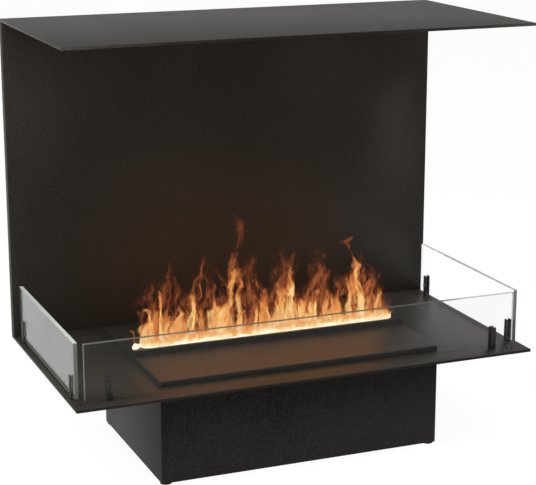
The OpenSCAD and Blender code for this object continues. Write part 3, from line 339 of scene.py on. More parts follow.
# Tongues: one attribute holds side, rise and half width, the other seed, length and heat
def makeFlame(name):
    f = Finish(name)
    side, up, half = f.attribute("sheet")
    seed, length, heat = f.attribute("tongue")
    across, rise = side * half, up * length
    swayAcross, swayUp = flameLook["sway"]
    sway = f.noise(1, 3, 0.6, f.join(seed * 31 + across * swayAcross, rise * swayUp,
                                     seed * 17)) - 0.5
    pinch = f.between(f.noise(1, 2, 0.5, f.join(seed * 41, rise * flameLook["pinch"], seed * 7)),
                      0.32, 0.68, *flameLook["narrow"])
    bendLow, bendUp = flameLook["bend"]
    bent = (side + sway * (up * bendUp + bendLow)) / pinch
    drift = across + sway * flameLook["drift"]
    flowAcross, flowUp = flameLook["flow"]
    flow = f.join(drift * flowAcross + seed * 11, rise * flowUp, seed * 23)
    body = f.between(f.noise(1, 2, 0.5, flow, 0.6), 0.38, 0.64)
    thread = ridges(f.noise(0.55, 2, 0.45, flow, 0.8), 6)
    fade = f.between(1 - bent.math("ABSOLUTE"), 0.0, flameLook["edge"])
    rim = fade * (1 - fade) * 4
    tip = 1 - f.between(up + sway * 0.7, *flameLook["tip"])
    # Faint wisps start softly
    foot = f.between(up, 0, 0.04) * f.between(heat + up * 2.4, 0.36, 0.72)
    own = f.between(1 - side.math("ABSOLUTE"), 0, 0.3)
    solid = heat ** 1.6 * flameLook["solid"]
    shape = (fade * (flameLook["thin"] + body * flameLook["body"] + thread * flameLook["thread"])
             + rim * thread * flameLook["rim"])
    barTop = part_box("nozzle_bar")[1].z
    z = f.parts(f.place())[2]
    bed, low = [1 - f.between(z, *(barTop + level for level in flameLook[band]))
                for band in ("bed", "low")]
    cover = own * tip * foot * solid * shape * (1 - bed * 0.3)
    warm = (heat * (1.0 - up * 0.62) - 0.38 + body * 0.28 + fade * 0.20 + thread * 0.24
            + low * 0.10)
    return glowing(f, warm.math("MINIMUM", flameLook["hottest"]) + bed * 0.16, cover)


# Low flames, drawn on a curtain by object coordinates
def makeCurtain(name, foot, tall):
    f = Finish(name)
    x, y, z = f.parts(f.place())
    up = (z - foot) / tall
    flow = f.join(x * 62, z * 15, y * 90)
    patch = f.noise(1, 2, 0.5, flow, 0.5)
    thread = ridges(f.noise(1.4, 2, 0.5, flow, 0.6), 6)
    top = f.between(up + (patch - 0.5) * 2.4, 0.10, 0.50)
    foam = 1 - f.between(up + (patch - 0.5) * 0.2, 0.12, 0.30)
    haze = (1 - f.between(up, 0.2, 1.0)) * 0.04
    own = f.between(up, 0, 0.02) * (1 - f.between(up, 0.8, 1.0))
    cover = own * ((1 - top) * (0.08 + f.between(patch, 0.38, 0.62) * 0.40 + thread * 0.16)
                   + haze + foam * 0.85)
    warm = 0.56 - up * 0.30 + thread * 0.16 + (patch - 0.5) * 0.7 + foam * (0.40 - up * 0.6)
    return glowing(f, warm, cover)


# The lit mist that wells up in the slot
def makeMistGlow(name):
    f = Finish(name)
    puff = f.noise(70, 3, 0.6, f.place((0.6, 1, 1.4)), 0.6)
    glow = f.mix(f.between(puff, 0.3, 0.72), rgb(1.0, 0.60, 0.24), rgb(1.0, 0.93, 0.72))
    return f.surface(Base_Color=rgb(0.2, 0.2, 0.2), Roughness=1, Emission_Color=glow,
                     Emission_Strength=1.0, Alpha=f.between(puff, 0.15, 0.4, 0.82, 1))


# One finish for each material slot of the part; board_green is made for each board below
paneTone = rgb(0.998, 1, 0.999)
finishes = {
    "powder_coat": makePowderCoat("powderCoat", rgb(0.0145, 0.0128, 0.0107), 0.47, 0.26),
    "zinc_plate": makePlated("zincPlate", rgb(0.60, 0.61, 0.62), 0.38),
    "clamp_steel": makeBrushed("clampSteel", rgb(0.46, 0.47, 0.48), 0.34, (300, 300, 40)),
    "pane_glass": makePaneFace("paneGlass", paneTone, 1.0, 1),
    "clip_black": makePowderCoat("clipBlack", rgb(0.026, 0.0245, 0.0225), 0.5, 0.4),
    "soft_rubber": makeMoulded("softRubber", rgb(0.020, 0.020, 0.021), 0.75, 500),
    "throat_steel": makeBrushed("throatSteel", rgb(0.62, 0.63, 0.64), 0.30, (10, 500, 500)),
    "lamp_aluminium": makeBrushed("lampAluminium", rgb(0.70, 0.71, 0.73), 0.32, (12, 600, 600)),
    "amber_guide": makeLitGuide("amberGuide"),
    "trough_plastic": makeMoulded("troughPlastic", rgb(0.085, 0.09, 0.095), 0.48),
    "tank_plastic": makeMoulded("tankPlastic", rgb(0.30, 0.34, 0.36), 0.22, 1200, 0.00004,
                                Coat_Weight=0.4),
    "black_plastic": makeMoulded("blackPlastic", rgb(0.014, 0.014, 0.015), 0.5),
    "fan_plastic": makeMoulded("fanPlastic", rgb(0.035, 0.037, 0.04), 0.42),
    "disc_ceramic": makeMoulded("discCeramic", rgb(0.80, 0.77, 0.68), 0.3, 1500, 0.00003),
    "cap_blue": makeMoulded("capBlue", rgb(0.022, 0.115, 0.38), 0.4),
    "stem_steel": makeBrushed("stemSteel", rgb(0.66, 0.67, 0.68), 0.22, (500, 500, 20)),
    "float_white": makeMoulded("floatWhite", rgb(0.78, 0.78, 0.75), 0.7, 260, 0.0004),
    "hose_silicone": makeMoulded("hoseSilicone", rgb(0.62, 0.65, 0.68), 0.28, 1400, 0.00003,
                                 Subsurface_Weight=0.2, Subsurface_Radius=(0.004, 0.004, 0.004)),
    "board_green": None,
    "button_red": makeMoulded("buttonRed", rgb(0.50, 0.035, 0.02), 0.34),
    "button_grey": makeMoulded("buttonGrey", rgb(0.024, 0.024, 0.025), 0.4),
    "supply_aluminium": makeBrushed("supplyAluminium", rgb(0.52, 0.53, 0.54), 0.42,
                                    (300, 20, 300)),
    "wire_sleeve": makeSleeve("wireSleeve"),
}
boardTop = {"control_board": 0.012, "button_board": 0.0045}  # lacquer's height in its box
slotOf = {part["node"]: part["material_slot"] for part in frame["record"]["subparts"]}
for node, made in frame["nodes"].items():
    finish = finishes[slotOf[node]]
    if node in boardTop:
        finish = makeBoard(node + "Lacquer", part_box(node)[0].z + boardTop[node])
    made.data.materials.clear()
    made.data.materials.append(finish)
print("finishes made:", len(finishes))


# Modelling helpers
past = 10 * mm  # how far a cutter passes the face that it opens


def block(bm, low, high):
    low, high = Vector(low), Vector(high)
    made = bmesh.ops.create_cube(bm, size=1)["verts"]
    bmesh.ops.scale(bm, vec=high - low, verts=made)
    bmesh.ops.translate(bm, vec=(low + high) / 2, verts=made)
    return made


def pin(bm, foot, rise, wide, top=None, sides=32):
    # Round bar or cone from its foot, along rise
    foot, rise = Vector(foot), Vector(rise)
    made = bmesh.ops.create_cone(bm, cap_ends=True, segments=sides, radius1=wide / 2,
                                 radius2=(wide if top is None else top) / 2,
                                 depth=rise.length)["verts"]
    turn = Vector((0, 0, 1)).rotation_difference(rise).to_matrix()
    bmesh.ops.rotate(bm, cent=(0, 0, 0), matrix=turn, verts=made)
    bmesh.ops.translate(bm, vec=foot + rise / 2, verts=made)
    return made


def drill(bm, spots, foot, rise, wide, top=None):
    for x, y in spots:
        pin(bm, (x, y, foot), (0, 0, rise), wide, top, 24)


def roundOff(bm, edges, radius, segments=2):
    bmesh.ops.bevel(bm, geom=list(edges), offset=radius, segments=segments, profile=0.5,
                    affect="EDGES", material=-1, clamp_overlap=True)


def sharpEdges(bm, least=40):
    return [e for e in bm.edges
            if len(e.link_faces) == 2 and e.calc_face_angle(0) > math.radians(least)]


def uprightEdges(bm, least):
    return [e for e in bm.edges if abs(e.verts[0].co.z - e.verts[1].co.z) > least]


def dropFaces(bm, test):
    bmesh.ops.delete(bm, geom=[f for f in bm.faces if test(f)], context="FACES")


def carve(bm, cutter):
    # Takes the cutter's solids out of the piece
    pair = []
    for source in (bm, cutter):
        data = bpy.data.meshes.new("carving")
        source.to_mesh(data)
        source.free()
        pair.append(bpy.data.objects.new("carving", data))
        scene.collection.objects.link(pair[-1])
    cut = pair[0].modifiers.new("cut", "BOOLEAN")
    cut.operation, cut.solver, cut.object = "DIFFERENCE", "EXACT", pair[1]
    result = bmesh.new()
    result.from_object(pair[0], bpy.context.evaluated_depsgraph_get())
    for temporary in pair:
        data = temporary.data
        bpy.data.objects.remove(temporary)
        bpy.data.meshes.remove(data)
    return result


def setDown(name, bm, body, materials, nodes=(), smoothTo=35, closed=True):
    # Turns a finished bmesh into a piece that rides on its body
    if closed:
        bmesh.ops.recalc_face_normals(bm, faces=bm.faces)
    for face in bm.faces:
        face.smooth = True
    for edge in bm.edges:
        flat = edge.calc_face_angle(0) < math.radians(smoothTo)
        edge.smooth = len(edge.link_faces) != 2 or flat
    data = bpy.data.meshes.new(name)
    bm.to_mesh(data)
    bm.free()
    for material in materials:
        data.materials.append(material)
    piece = bpy.data.objects.new(name, data)
    scene.collection.objects.link(piece)
    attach(piece, body)
    if nodes:
        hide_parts(*nodes)
    return piece


powder = finishes["powder_coat"]

# Hearth plate, laser cut, with its countersunk bolt holes
hearth = {"cutOut": (0.285, 0.170), "edge": 0.6 * mm, "frameBolts": (0.65, 0.2975, 0.1825),
          "boltHole": 6.5 * mm, "sinkTop": 10.5 * mm, "sinkDeep": 4 * mm, "over": 0.1 * mm}
low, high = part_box("hearth_plate")
bm = bmesh.new()
block(bm, low, high)
roundOff(bm, bm.edges[:], hearth["edge"])
cutter = bmesh.new()
halfX, halfY = hearth["cutOut"]
block(cutter, (-halfX, -halfY, low.z - past), (halfX, halfY, high.z + past))
share, boltX, boltY = hearth["frameBolts"]
holes = [(side * boltX, step * boltY * share) for side in (-1, 1) for step in (-1, 0, 1)]
holes += [(step * boltX * share, side * boltY) for side in (-1, 1) for step in (-1, 0, 1)]
drill(cutter, holes, low.z - past, 3 * past, hearth["boltHole"])
bm = carve(bm, cutter)
cutter = bmesh.new()
drill(cutter, holes, high.z - hearth["sinkDeep"], hearth["sinkDeep"] + hearth["over"],
      hearth["boltHole"], hearth["sinkTop"])
bm = carve(bm, cutter)
setDown("hearthPlate", bm, "fireplace", [powder], ["hearth_plate"])

# Canopy plate
low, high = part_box("canopy_plate")
bm = bmesh.new()
block(bm, low, high)
roundOff(bm, bm.edges[:], hearth["edge"])
setDown("canopyPlate", bm, "fireplace", [powder], ["canopy_plate"])

# Back panel: a sheet with bars round its edges, open at the rear
tray = {"sheet": 3 * mm, "fold": 1.2 * mm}
low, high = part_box("back_panel")
bm = bmesh.new()
block(bm, low, high)
dropFaces(bm, lambda f: f.normal.y > 0.9)
roundOff(bm, [e for e in bm.edges if len(e.link_faces) == 2], tray["fold"])
bmesh.ops.solidify(bm, geom=bm.faces[:], thickness=tray["sheet"])
setDown("backPanel", bm, "fireplace", [powder], ["back_panel"])

# Pedestal: three sheets with flat frames inwards at the top, the bottom and the rear
box = {"sheet": 3 * mm, "fold": 1.2 * mm, "flange": 22 * mm}
low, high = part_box("pedestal_shell")
bm = bmesh.new()
block(bm, low, high)
for axis, sign in ((2, 1), (2, -1), (1, 1)):
    face = next(f for f in bm.faces if f.normal[axis] * sign > 0.9)
    bmesh.ops.inset_region(bm, faces=[face], thickness=box["flange"], use_even_offset=True)
    bmesh.ops.delete(bm, geom=[face], context="FACES")
roundOff(bm, sharpEdges(bm), box["fold"])
bmesh.ops.solidify(bm, geom=bm.faces[:], thickness=box["sheet"])
setDown("pedestalShell", bm, "fireplace", [powder], ["pedestal_shell"])


# Deck: two folded lids and the bar between them
deck = {"sheet": 2 * mm, "fold": 2.3 * mm, "slotLength": 0.582, "slotWidth": 0.040,
        "slotFrom": 6 * mm, "screwDrop": 7 * mm, "screwReach": 0.250, "screwHole": 4.5 * mm,
        "lidScrewX": 0.293, "lidScrewY": (0.055, 0.175), "sinkTop": 7.9 * mm,
        "over": 0.05 * mm, "rimEdge": 0.4 * mm}


def foldedLid(node, openTo):
    # Open below and, unless openTo is 0, at its rear (1) or its front (-1)
    low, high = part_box(node)
    bm = bmesh.new()
    block(bm, low, high)
    dropFaces(bm, lambda f: f.normal.z < -0.9 or f.normal.y * openTo > 0.9)
    roundOff(bm, [e for e in bm.edges if len(e.link_faces) == 2], deck["fold"], 4)
    bmesh.ops.solidify(bm, geom=bm.faces[:], thickness=deck["sheet"])
    bmesh.ops.recalc_face_normals(bm, faces=bm.faces)
    return bm


setDown("frontCover", foldedLid("front_cover", 1), "front_cover", [powder], ["front_cover"])
bm = foldedLid("rear_cover", -1)
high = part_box("rear_cover")[1]
holes = [(side * deck["lidScrewX"], y) for side in (-1, 1) for y in deck["lidScrewY"]]
cutter = bmesh.new()
drill(cutter, holes, high.z - deck["sheet"] - 1 * mm, past, deck["screwHole"])
bm = carve(bm, cutter)
cutter = bmesh.new()
drill(cutter, holes, high.z - deck["sheet"], deck["sheet"] + deck["over"], deck["screwHole"],
      deck["sinkTop"])
setDown("rearCover", carve(bm, cutter), "fireplace", [powder], ["rear_cover"])

low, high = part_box("nozzle_bar")
bm = foldedLid("nozzle_bar", 0)
cutter = bmesh.new()
slotY = low.y + deck["slotFrom"] + deck["slotWidth"] / 2
halfL, halfW = deck["slotLength"] / 2, deck["slotWidth"] / 2
block(cutter, (-halfL, slotY - halfW, high.z - past), (halfL, slotY + halfW, high.z + past))
roundOff(cutter, uprightEdges(cutter, past), halfW * 0.9999, 12)
for step in (-1, 0, 1):
    pin(cutter, (step * deck["screwReach"], high.y - 4 * mm, high.z - deck["screwDrop"]),
        (0, 6 * mm, 0), deck["screwHole"], sides=24)
bm = carve(bm, cutter)
# The long skirts stop above the case's flange
cutter = bmesh.new()
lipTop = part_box("hearth_plate")[1].z + deck["sheet"]
block(cutter, (low.x + deck["sheet"], low.y - past, low.z - past),
      (high.x - deck["sheet"], high.y + past, lipTop))
bm = carve(bm, cutter)
rim = [e for e in sharpEdges(bm) if all(v.co.z > high.z - 1e-5 for v in e.verts)]
roundOff(bm, rim, deck["rimEdge"])
setDown("nozzleBar", bm, "fireplace", [powder], ["nozzle_bar"])
print("shell and deck made")

# Glass panes with a small ground arris; thin is the axis across the pane. The top, the ends and
# the rest have rims of their own: tone, how solid and, on the front pane, how solid at its right
# end, where the top rim is painted more see-through as a stand-in for refracted white light
panes = {
    "front_glass": {"name": "frontPane", "thin": 1, "mirror": 1.0, "bend": 1,
                    "top": (rgb(0.075, 0.080, 0.068), 0.90, 0.40),
                    "end": (rgb(0.20, 0.24, 0.22), 0.5), "rest": (rgb(0.1, 0.12, 0.11), 0.05)},
    "left_glass": {"name": "leftPane", "thin": 0, "mirror": 1.0, "bend": 1.5,
                   "top": (rgb(0.46, 0.49, 0.475), 0.72), "end": (rgb(0.125, 0.14, 0.13), 0.96),
                   "rest": (rgb(0.12, 0.13, 0.125), 0.9)},
    "right_glass": {"name": "rightPane", "thin": 0, "mirror": 0.0, "bend": 1.13,
                    "top": (rgb(0.36, 0.385, 0.38), 0.95), "end": (rgb(0.085, 0.092, 0.09), 0.92),
                    "rest": (rgb(0.5, 0.52, 0.51), 0.05)},
}
arris = 0.8 * mm
for node, pane in panes.items():
    face = makePaneFace(pane["name"] + "Face", paneTone, pane["mirror"], pane["bend"])
    rims = [makePaneRim(pane["name"] + part.title(), *pane[part])
            for part in ("top", "end", "rest")]
    bm = bmesh.new()
    block(bm, *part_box(node))
    roundOff(bm, bm.edges[:], arris, 1)
    for side in bm.faces:
        if abs(side.normal[pane["thin"]]) > 0.99:
            side.material_index = 0
        elif side.normal.z < -0.1 or (pane["thin"] == 0 and side.normal.y > 0.1):
            side.material_index = 3
        else:
            side.material_index = 1 if side.normal.z > 0.1 else 2
    setDown(pane["name"], bm, node, [face] + rims, [node], smoothTo=5)

# Slotted clips, two on each pane
clip = {"width": 11 * mm, "notch": 9.6 * mm, "base": 4.4 * mm, "edge": 0.5 * mm}


def clipPair(node, name, along):
    low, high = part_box(node)
    bm = bmesh.new()
    half = clip["width"] / 2
    for end in (low[along] + half, high[along] - half):
        footLow, footHigh = low.copy(), high.copy()
        footLow[along], footHigh[along] = end - half, end + half
        one = bmesh.new()
        block(one, footLow, footHigh)
        roundOff(one, one.edges[:], clip["edge"])
        across = 1 - along
        cutter = bmesh.new()
        middle = (footLow[across] + footHigh[across]) / 2
        cutLow, cutHigh = footLow.copy(), footHigh.copy()
        cutLow[across], cutHigh[across] = middle - clip["notch"] / 2, middle + clip["notch"] / 2
        cutLow[along] -= past
        cutHigh[along] += past
        cutLow.z += clip["base"]
        cutHigh.z += past
        block(cutter, cutLow, cutHigh)
        one = carve(one, cutter)
        data = bpy.data.meshes.new("clip")
        one.to_mesh(data)
        one.free()
        bm.from_mesh(data)
        bpy.data.meshes.remove(data)
    setDown(name, bm, "fireplace", [finishes["clip_black"]], [node])


clipPair("front_clips", "frontClips", 0)
clipPair("left_clips", "leftClips", 1)
clipPair("right_clips", "rightClips", 1)
print("glass guard made")

# Flames: each tongue is one silky sheet along a line of points, or two where it is hot, with
# another across it. Lengths are in mm; a tongue that starts below lowStart begins at foot, and
# its own first point gives way if it is near
fire = {"rows": 30, "columns": 6, "middleY": -3, "reachY": 17, "foot": 24, "lowStart": 60,
        "near": 10, "least": 1.5, "wide": 1.4, "widen": 0.45, "sway": 3, "bow": 2.5, "hot": 0.5}
# Heat, then the points as x, height above the hearth and half width in mm
tongues = [
    (0.8, [(-281, 29, 18), (-280, 50, 17), (-277, 67, 14), (-272, 76, 7), (-269, 81, 2)]),
    (0.42, [(-296, 33, 5), (-299, 47, 5), (-304, 57, 5), (-309, 62, 2)]),
    (0.86, [(-260, 34, 8), (-263, 55, 6), (-266, 72, 5), (-266, 86, 5), (-268, 98, 6),
      (-273, 103, 4), (-277, 96, 3), (-278, 88, 2)]),
    (0.58, [(-255, 47, 7), (-255, 71, 9), (-254, 85, 11), (-254, 99, 12), (-253, 110, 10),
      (-248, 118, 5)]),
    (0.92, [(-243, 30, 5), (-244, 50, 5), (-245, 70, 4), (-245, 88, 3), (-244, 106, 3),
      (-244, 123, 3), (-245, 135, 2), (-249, 145, 3)]),
    (0.52, [(-242, 100, 4), (-241, 111, 5), (-238, 123, 6), (-237, 134, 6), (-234, 143, 8),
      (-229, 150, 9), (-228, 157, 6), (-230, 163, 2)]),
    (0.22, [(-224, 154, 4), (-222, 165, 6), (-220, 180, 7), (-218, 196, 6), (-215, 209, 8),
      (-210, 217, 5)]),
    (0.9, [(-236, 27, 11), (-238, 49, 9), (-239, 68, 8), (-241, 80, 7), (-243, 88, 4)]),
    (0.84, [(-224, 25, 10), (-229, 48, 10), (-229, 67, 11), (-225, 79, 9), (-223, 86, 4)]),
    (0.86, [(-212, 25, 17), (-210, 47, 15), (-205, 62, 13), (-198, 76, 11), (-195, 85, 8),
      (-198, 95, 4), (-200, 103, 1)]),
    (0.55, [(-195, 50, 8), (-195, 64, 8), (-190, 77, 7), (-184, 88, 5), (-177, 95, 5)]),
    (0.3, [(-201, 104, 6), (-200, 112, 10), (-199, 125, 12), (-197, 136, 8), (-196, 142, 4)]),
    (0.96, [(-176, 21, 19), (-174, 43, 15), (-173, 58, 13), (-170, 72, 12), (-168, 83, 9),
      (-168, 100, 8), (-169, 114, 10), (-169, 126, 8), (-171, 138, 4)]),
    (0.56, [(-155, 42, 7), (-156, 58, 8), (-157, 74, 8), (-158, 88, 7), (-160, 102, 6),
      (-154, 110, 2)]),
    (0.46, [(-156, 107, 2), (-150, 120, 2), (-151, 136, 3), (-153, 150, 5), (-152, 165, 6),
      (-149, 182, 6), (-146, 194, 8), (-142, 202, 10), (-145, 211, 5)]),
    (0.34, [(-169, 125, 7), (-165, 142, 7), (-159, 159, 7), (-153, 175, 5)]),
    (0.98, [(-126, 15, 13), (-125, 37, 11), (-124, 56, 12), (-122, 72, 13), (-123, 87, 12),
      (-124, 98, 6), (-125, 109, 3), (-126, 121, 1)]),
    (0.9, [(-110, 13, 12), (-110, 38, 11), (-108, 57, 10), (-105, 73, 8), (-102, 86, 6),
      (-100, 94, 2)]),
    (0.96, [(-111, 39, 14), (-110, 72, 13), (-103, 92, 11), (-95, 102, 5)]),
    (0.8, [(-85, 36, 19), (-88, 71, 13), (-87, 98, 8), (-85, 116, 9), (-82, 131, 10),
      (-76, 146, 12), (-75, 161, 12), (-79, 177, 11), (-81, 192, 9), (-77, 208, 7)]),
    (0.48, [(-88, 111, 3), (-91, 129, 3), (-96, 140, 2), (-97, 154, 1)]),
    (0.7, [(-67, 67, 10), (-69, 88, 8), (-71, 103, 7), (-70, 119, 7), (-63, 132, 7),
      (-63, 148, 4), (-68, 168, 3), (-72, 187, 3)]),
    (0.26, [(-73, 199, 6), (-66, 217, 7), (-62, 235, 7), (-62, 252, 9), (-64, 265, 10),
      (-70, 277, 9), (-77, 287, 6), (-84, 292, 3)]),
    (0.92, [(-65, 36, 16), (-65, 61, 13), (-67, 74, 9), (-63, 82, 3)]),
    (0.42, [(-61, 129, 2), (-43, 135, 2), (-33, 139, 2), (-25, 143, 2)]),
    (0.38, [(-24, 138, 2), (-22, 121, 2), (-19, 111, 2)]),
    (0.36, [(-41, 133, 1), (-43, 120, 2), (-50, 109, 2), (-50, 93, 1)]),
    (0.3, [(-44, 45, 6), (-41, 73, 7), (-37, 92, 7), (-35, 105, 4)]),
    (0.76, [(-33, 37, 6), (-30, 64, 5), (-31, 84, 5), (-27, 97, 4)]),
    (0.74, [(-12, 35, 10), (-13, 66, 7), (-14, 88, 8), (-14, 104, 9), (-9, 114, 7),
      (-13, 125, 4)]),
    (0.84, [(6, 37, 13), (1, 61, 6), (-3, 79, 4), (5, 90, 1)]),
    (0.97, [(16, 36, 13), (20, 64, 10), (18, 86, 9), (20, 105, 9), (19, 120, 7), (16, 136, 4)]),
    (0.78, [(31, 40, 11), (29, 75, 10), (31, 96, 9), (32, 113, 9), (29, 127, 7), (28, 137, 3)]),
    (0.98, [(51, 35, 14), (51, 69, 10), (51, 90, 12), (51, 109, 10), (51, 129, 9), (52, 144, 8),
      (53, 159, 7), (49, 173, 5)]),
    (0.3, [(51, 159, 7), (56, 176, 9), (59, 189, 12), (56, 202, 6)]),
    (0.86, [(77, 34, 12), (73, 64, 6), (71, 80, 4), (73, 93, 4)]),
    (0.74, [(83, 55, 4), (82, 73, 3), (79, 83, 3), (75, 92, 2)]),
    (0.94, [(94, 32, 15), (93, 48, 14), (91, 58, 7)]),
    (0.18, [(95, 93, 6), (96, 112, 7), (97, 131, 6), (99, 150, 3)]),
    (0.86, [(78, 43, 11), (78, 75, 7), (76, 91, 4)]),
    (0.93, [(110, 37, 12), (111, 63, 9), (114, 80, 8), (116, 96, 6), (120, 105, 3)]),
    (0.9, [(131, 37, 10), (131, 59, 8), (132, 75, 7), (133, 86, 7), (132, 97, 4)]),
    (0.44, [(132, 78, 7), (133, 94, 8), (129, 107, 6), (126, 123, 6), (128, 139, 9),
      (129, 154, 10), (128, 166, 9), (126, 175, 3)]),
    (0.8, [(138, 58, 2), (138, 73, 3), (141, 86, 3), (137, 98, 2), (134, 108, 1)]),
    (0.7, [(153, 34, 11), (153, 58, 8), (152, 76, 6), (149, 92, 5), (148, 100, 2)]),
    (0.5, [(168, 34, 9), (170, 61, 6), (165, 78, 4), (166, 93, 5), (171, 109, 7), (169, 123, 8),
      (171, 134, 4)]),
    (0.95, [(162, 31, 16), (159, 49, 12), (158, 61, 5)]),
    (0.76, [(194, 32, 7), (194, 58, 3), (194, 76, 3), (195, 92, 3), (192, 107, 5), (186, 122, 6),
      (182, 136, 4)]),
    (0.99, [(218, 30, 15), (218, 56, 13), (217, 75, 12), (214, 91, 11), (207, 107, 9),
      (205, 121, 7), (205, 137, 7), (207, 150, 10), (203, 161, 7), (196, 173, 3), (191, 188, 3)]),
    (0.72, [(203, 64, 7), (202, 83, 8), (200, 99, 9), (196, 116, 9), (195, 132, 7),
      (196, 149, 4)]),
    (0.34, [(192, 180, 3), (190, 194, 7), (183, 204, 10), (193, 211, 6), (203, 219, 3)]),
    (0.66, [(237, 29, 10), (237, 58, 9), (234, 76, 7), (236, 92, 6), (240, 108, 6),
      (244, 119, 3)]),
    (0.38, [(235, 102, 4), (231, 115, 4), (227, 128, 4), (230, 141, 4), (235, 153, 4),
      (237, 164, 2)]),
    (0.7, [(255, 30, 8), (249, 60, 5), (245, 78, 3), (242, 98, 2)]),
    (0.5, [(263, 29, 9), (262, 54, 6), (260, 67, 4), (258, 80, 2)]),
    (0.56, [(272, 23, 7), (275, 39, 5), (275, 54, 3)]),
    (0.86, [(268, 27, 6), (283, 28, 5), (297, 30, 4), (309, 32, 2)]),
]
# Between them stand short flames and, behind, wide faint veils
short = {"count": 38, "start": -277, "step": 15, "stray": 6, "foot": 26, "tall": 26,
         "taller": 24, "lean": 8, "heat": 0.66, "hotter": 0.16}
for number in range(short["count"]):
    x = short["start"] + number * short["step"] + short["stray"] * math.sin(number * 7.1)
    tall = short["tall"] + short["taller"] * (1 + math.sin(number * 5.3))
    lean, z = short["lean"] * math.sin(number * 3.7), short["foot"]
    tongues.append((short["heat"] + short["hotter"] * math.sin(number * 2.3),
                    [(x, z, 7), (x + lean * 0.3, z + tall * 0.4, 7),
                     (x + lean, z + tall * 0.75, 5), (x + lean * 0.7, z + tall, 2)]))
veil = {"count": 13, "start": -262, "step": 43, "foot": 30, "tall": 135, "taller": 40,
        "lean": 14, "heat": 0.42}
for number in range(veil["count"]):
    x = veil["start"] + number * veil["step"]
    tall = veil["tall"] + veil["taller"] * math.sin(number * 2.9)
    lean, z = veil["lean"] * math.sin(number * 4.1), veil["foot"]
    tongues.append((veil["heat"], [(x, z, 24), (x + lean, z + tall * 0.35, 28),
                                   (x + lean * 0.2, z + tall * 0.7, 24),
                                   (x + lean * 1.3, z + tall, 12)]))


def follow(points, share):
    # Point on a smooth line through the points, with its share of the way
    place = share * (len(points) - 1)
    index = min(int(place), len(points) - 2)
    part = place - index
    before = points[max(index - 1, 0)]
    start, end = points[index], points[index + 1]
    after = points[min(index + 2, len(points) - 1)]
    return [0.5 * (2 * b + (c - a) * part + (2 * a - 5 * b + 4 * c - d) * part ** 2
                   + (3 * b - a - 3 * c + d) * part ** 3)
            for a, b, c, d in zip(before, start, end, after)]


def addTongue(bm, points, heat, depth, facing, twist, chance, slim=1.0):
    # Facing and twist turn the sheet about its line, in degrees
    sheet = bm.verts.layers.float_vector["sheet"]
    tongue = bm.verts.layers.float_vector["tongue"]
    grid = bmesh.ops.create_grid(bm, x_segments=fire["columns"], y_segments=fire["rows"],
                                 size=0.5)
    seed, wobble = chance.random(), chance.uniform(0, 6.28)
    length = sum(math.dist(a[:2], b[:2]) for a, b in zip(points, points[1:])) * mm
    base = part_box("hearth_plate")[1].z
    for vert in grid["verts"]:
        side, up = vert.co.x * 2, vert.co.y + 0.5
        x, z, half = follow(points, up)
        spread = fire["wide"] + max(0, fire["hot"] - heat) * 2 + fire["widen"] * up
        half = max(half, fire["least"]) * spread * slim
        turn = math.radians(facing + twist * up)
        sway = fire["sway"] * up * math.sin(4 * up + wobble)
        bow = fire["bow"] * (1 - side ** 2)
        y = depth + sway + bow + side * half * math.sin(turn)
        y = min(max(y, -fire["reachY"]), fire["reachY"]) + fire["middleY"]
        vert.co = Vector(((x + side * half * math.cos(turn)) * mm, y * mm, base + z * mm))
        vert[sheet] = Vector((side, up, half * mm))
        vert[tongue] = Vector((seed, length, heat))


def newSheets():
    bm = bmesh.new()
    bm.verts.layers.float_vector.new("sheet")
    bm.verts.layers.float_vector.new("tongue")
    return bm


def flamePiece(name, bm, material):
    piece = setDown(name, bm, "fireplace", [material], closed=False, smoothTo=180)
    piece.visible_shadow = False


scene.cycles.transparent_max_bounces = 32
flame = makeFlame("flame")
chance = random.Random(11)
groups = {"flamesLeft": (-400, -110), "flamesMiddle": (-110, 100), "flamesRight": (100, 400)}
for name, (fromX, toX) in groups.items():
    bm = newSheets()
    for heat, points in tongues:
        if fromX <= points[0][0] < toX:
            if points[0][1] < fire["lowStart"]:
                x, z, half = points[0]
                kept = points[1:] if z - fire["foot"] < fire["near"] else points
                points = [(x, fire["foot"], half * 1.1)] + kept
            hot = heat > fire["hot"]
            depth = chance.uniform(-13, 10) if hot else chance.uniform(0, 12)
            for slim in (1, 0.72) if hot else (1,):
                addTongue(bm, points, heat, depth + chance.uniform(-3, 3),
                          chance.uniform(-14, 14), chance.uniform(-16, 16), chance, slim)
            addTongue(bm, points, heat * 0.94, depth * 0.6, chance.choice((-72, 72)),
                      chance.uniform(-20, 20), chance, 0.9)
    flamePiece(name, bm, flame)

# Low flames: three wavy curtains along the slot; waves as mm and radians per metre
curtain = {"length": 0.574, "foot": -1.5 * mm, "tall": 0.065, "columns": 150, "rows": 8,
           "depths": (-16, -5, 8), "wave": (3, 90), "swell": (2, 37)}
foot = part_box("nozzle_bar")[1].z + curtain["foot"]
lowFlame = makeCurtain("lowFlame", foot, curtain["tall"])
for number, depth in enumerate(curtain["depths"], 1):
    bm = bmesh.new()
    bmesh.ops.create_grid(bm, x_segments=curtain["columns"], y_segments=curtain["rows"], size=0.5)
    phase = chance.uniform(0, 6.28)
    (wave, waveTurns), (swell, swellTurns) = curtain["wave"], curtain["swell"]
    for vert in bm.verts:
        x, up = vert.co.x * curtain["length"], vert.co.y + 0.5
        y = (depth + wave * math.sin(x * waveTurns + phase + up)
             + swell * math.sin(x * swellTurns + phase))
        vert.co = Vector((x, (y + fire["middleY"]) * mm, foot + up * curtain["tall"]))
    flamePiece("flameCurtain" + str(number), bm, lowFlame)

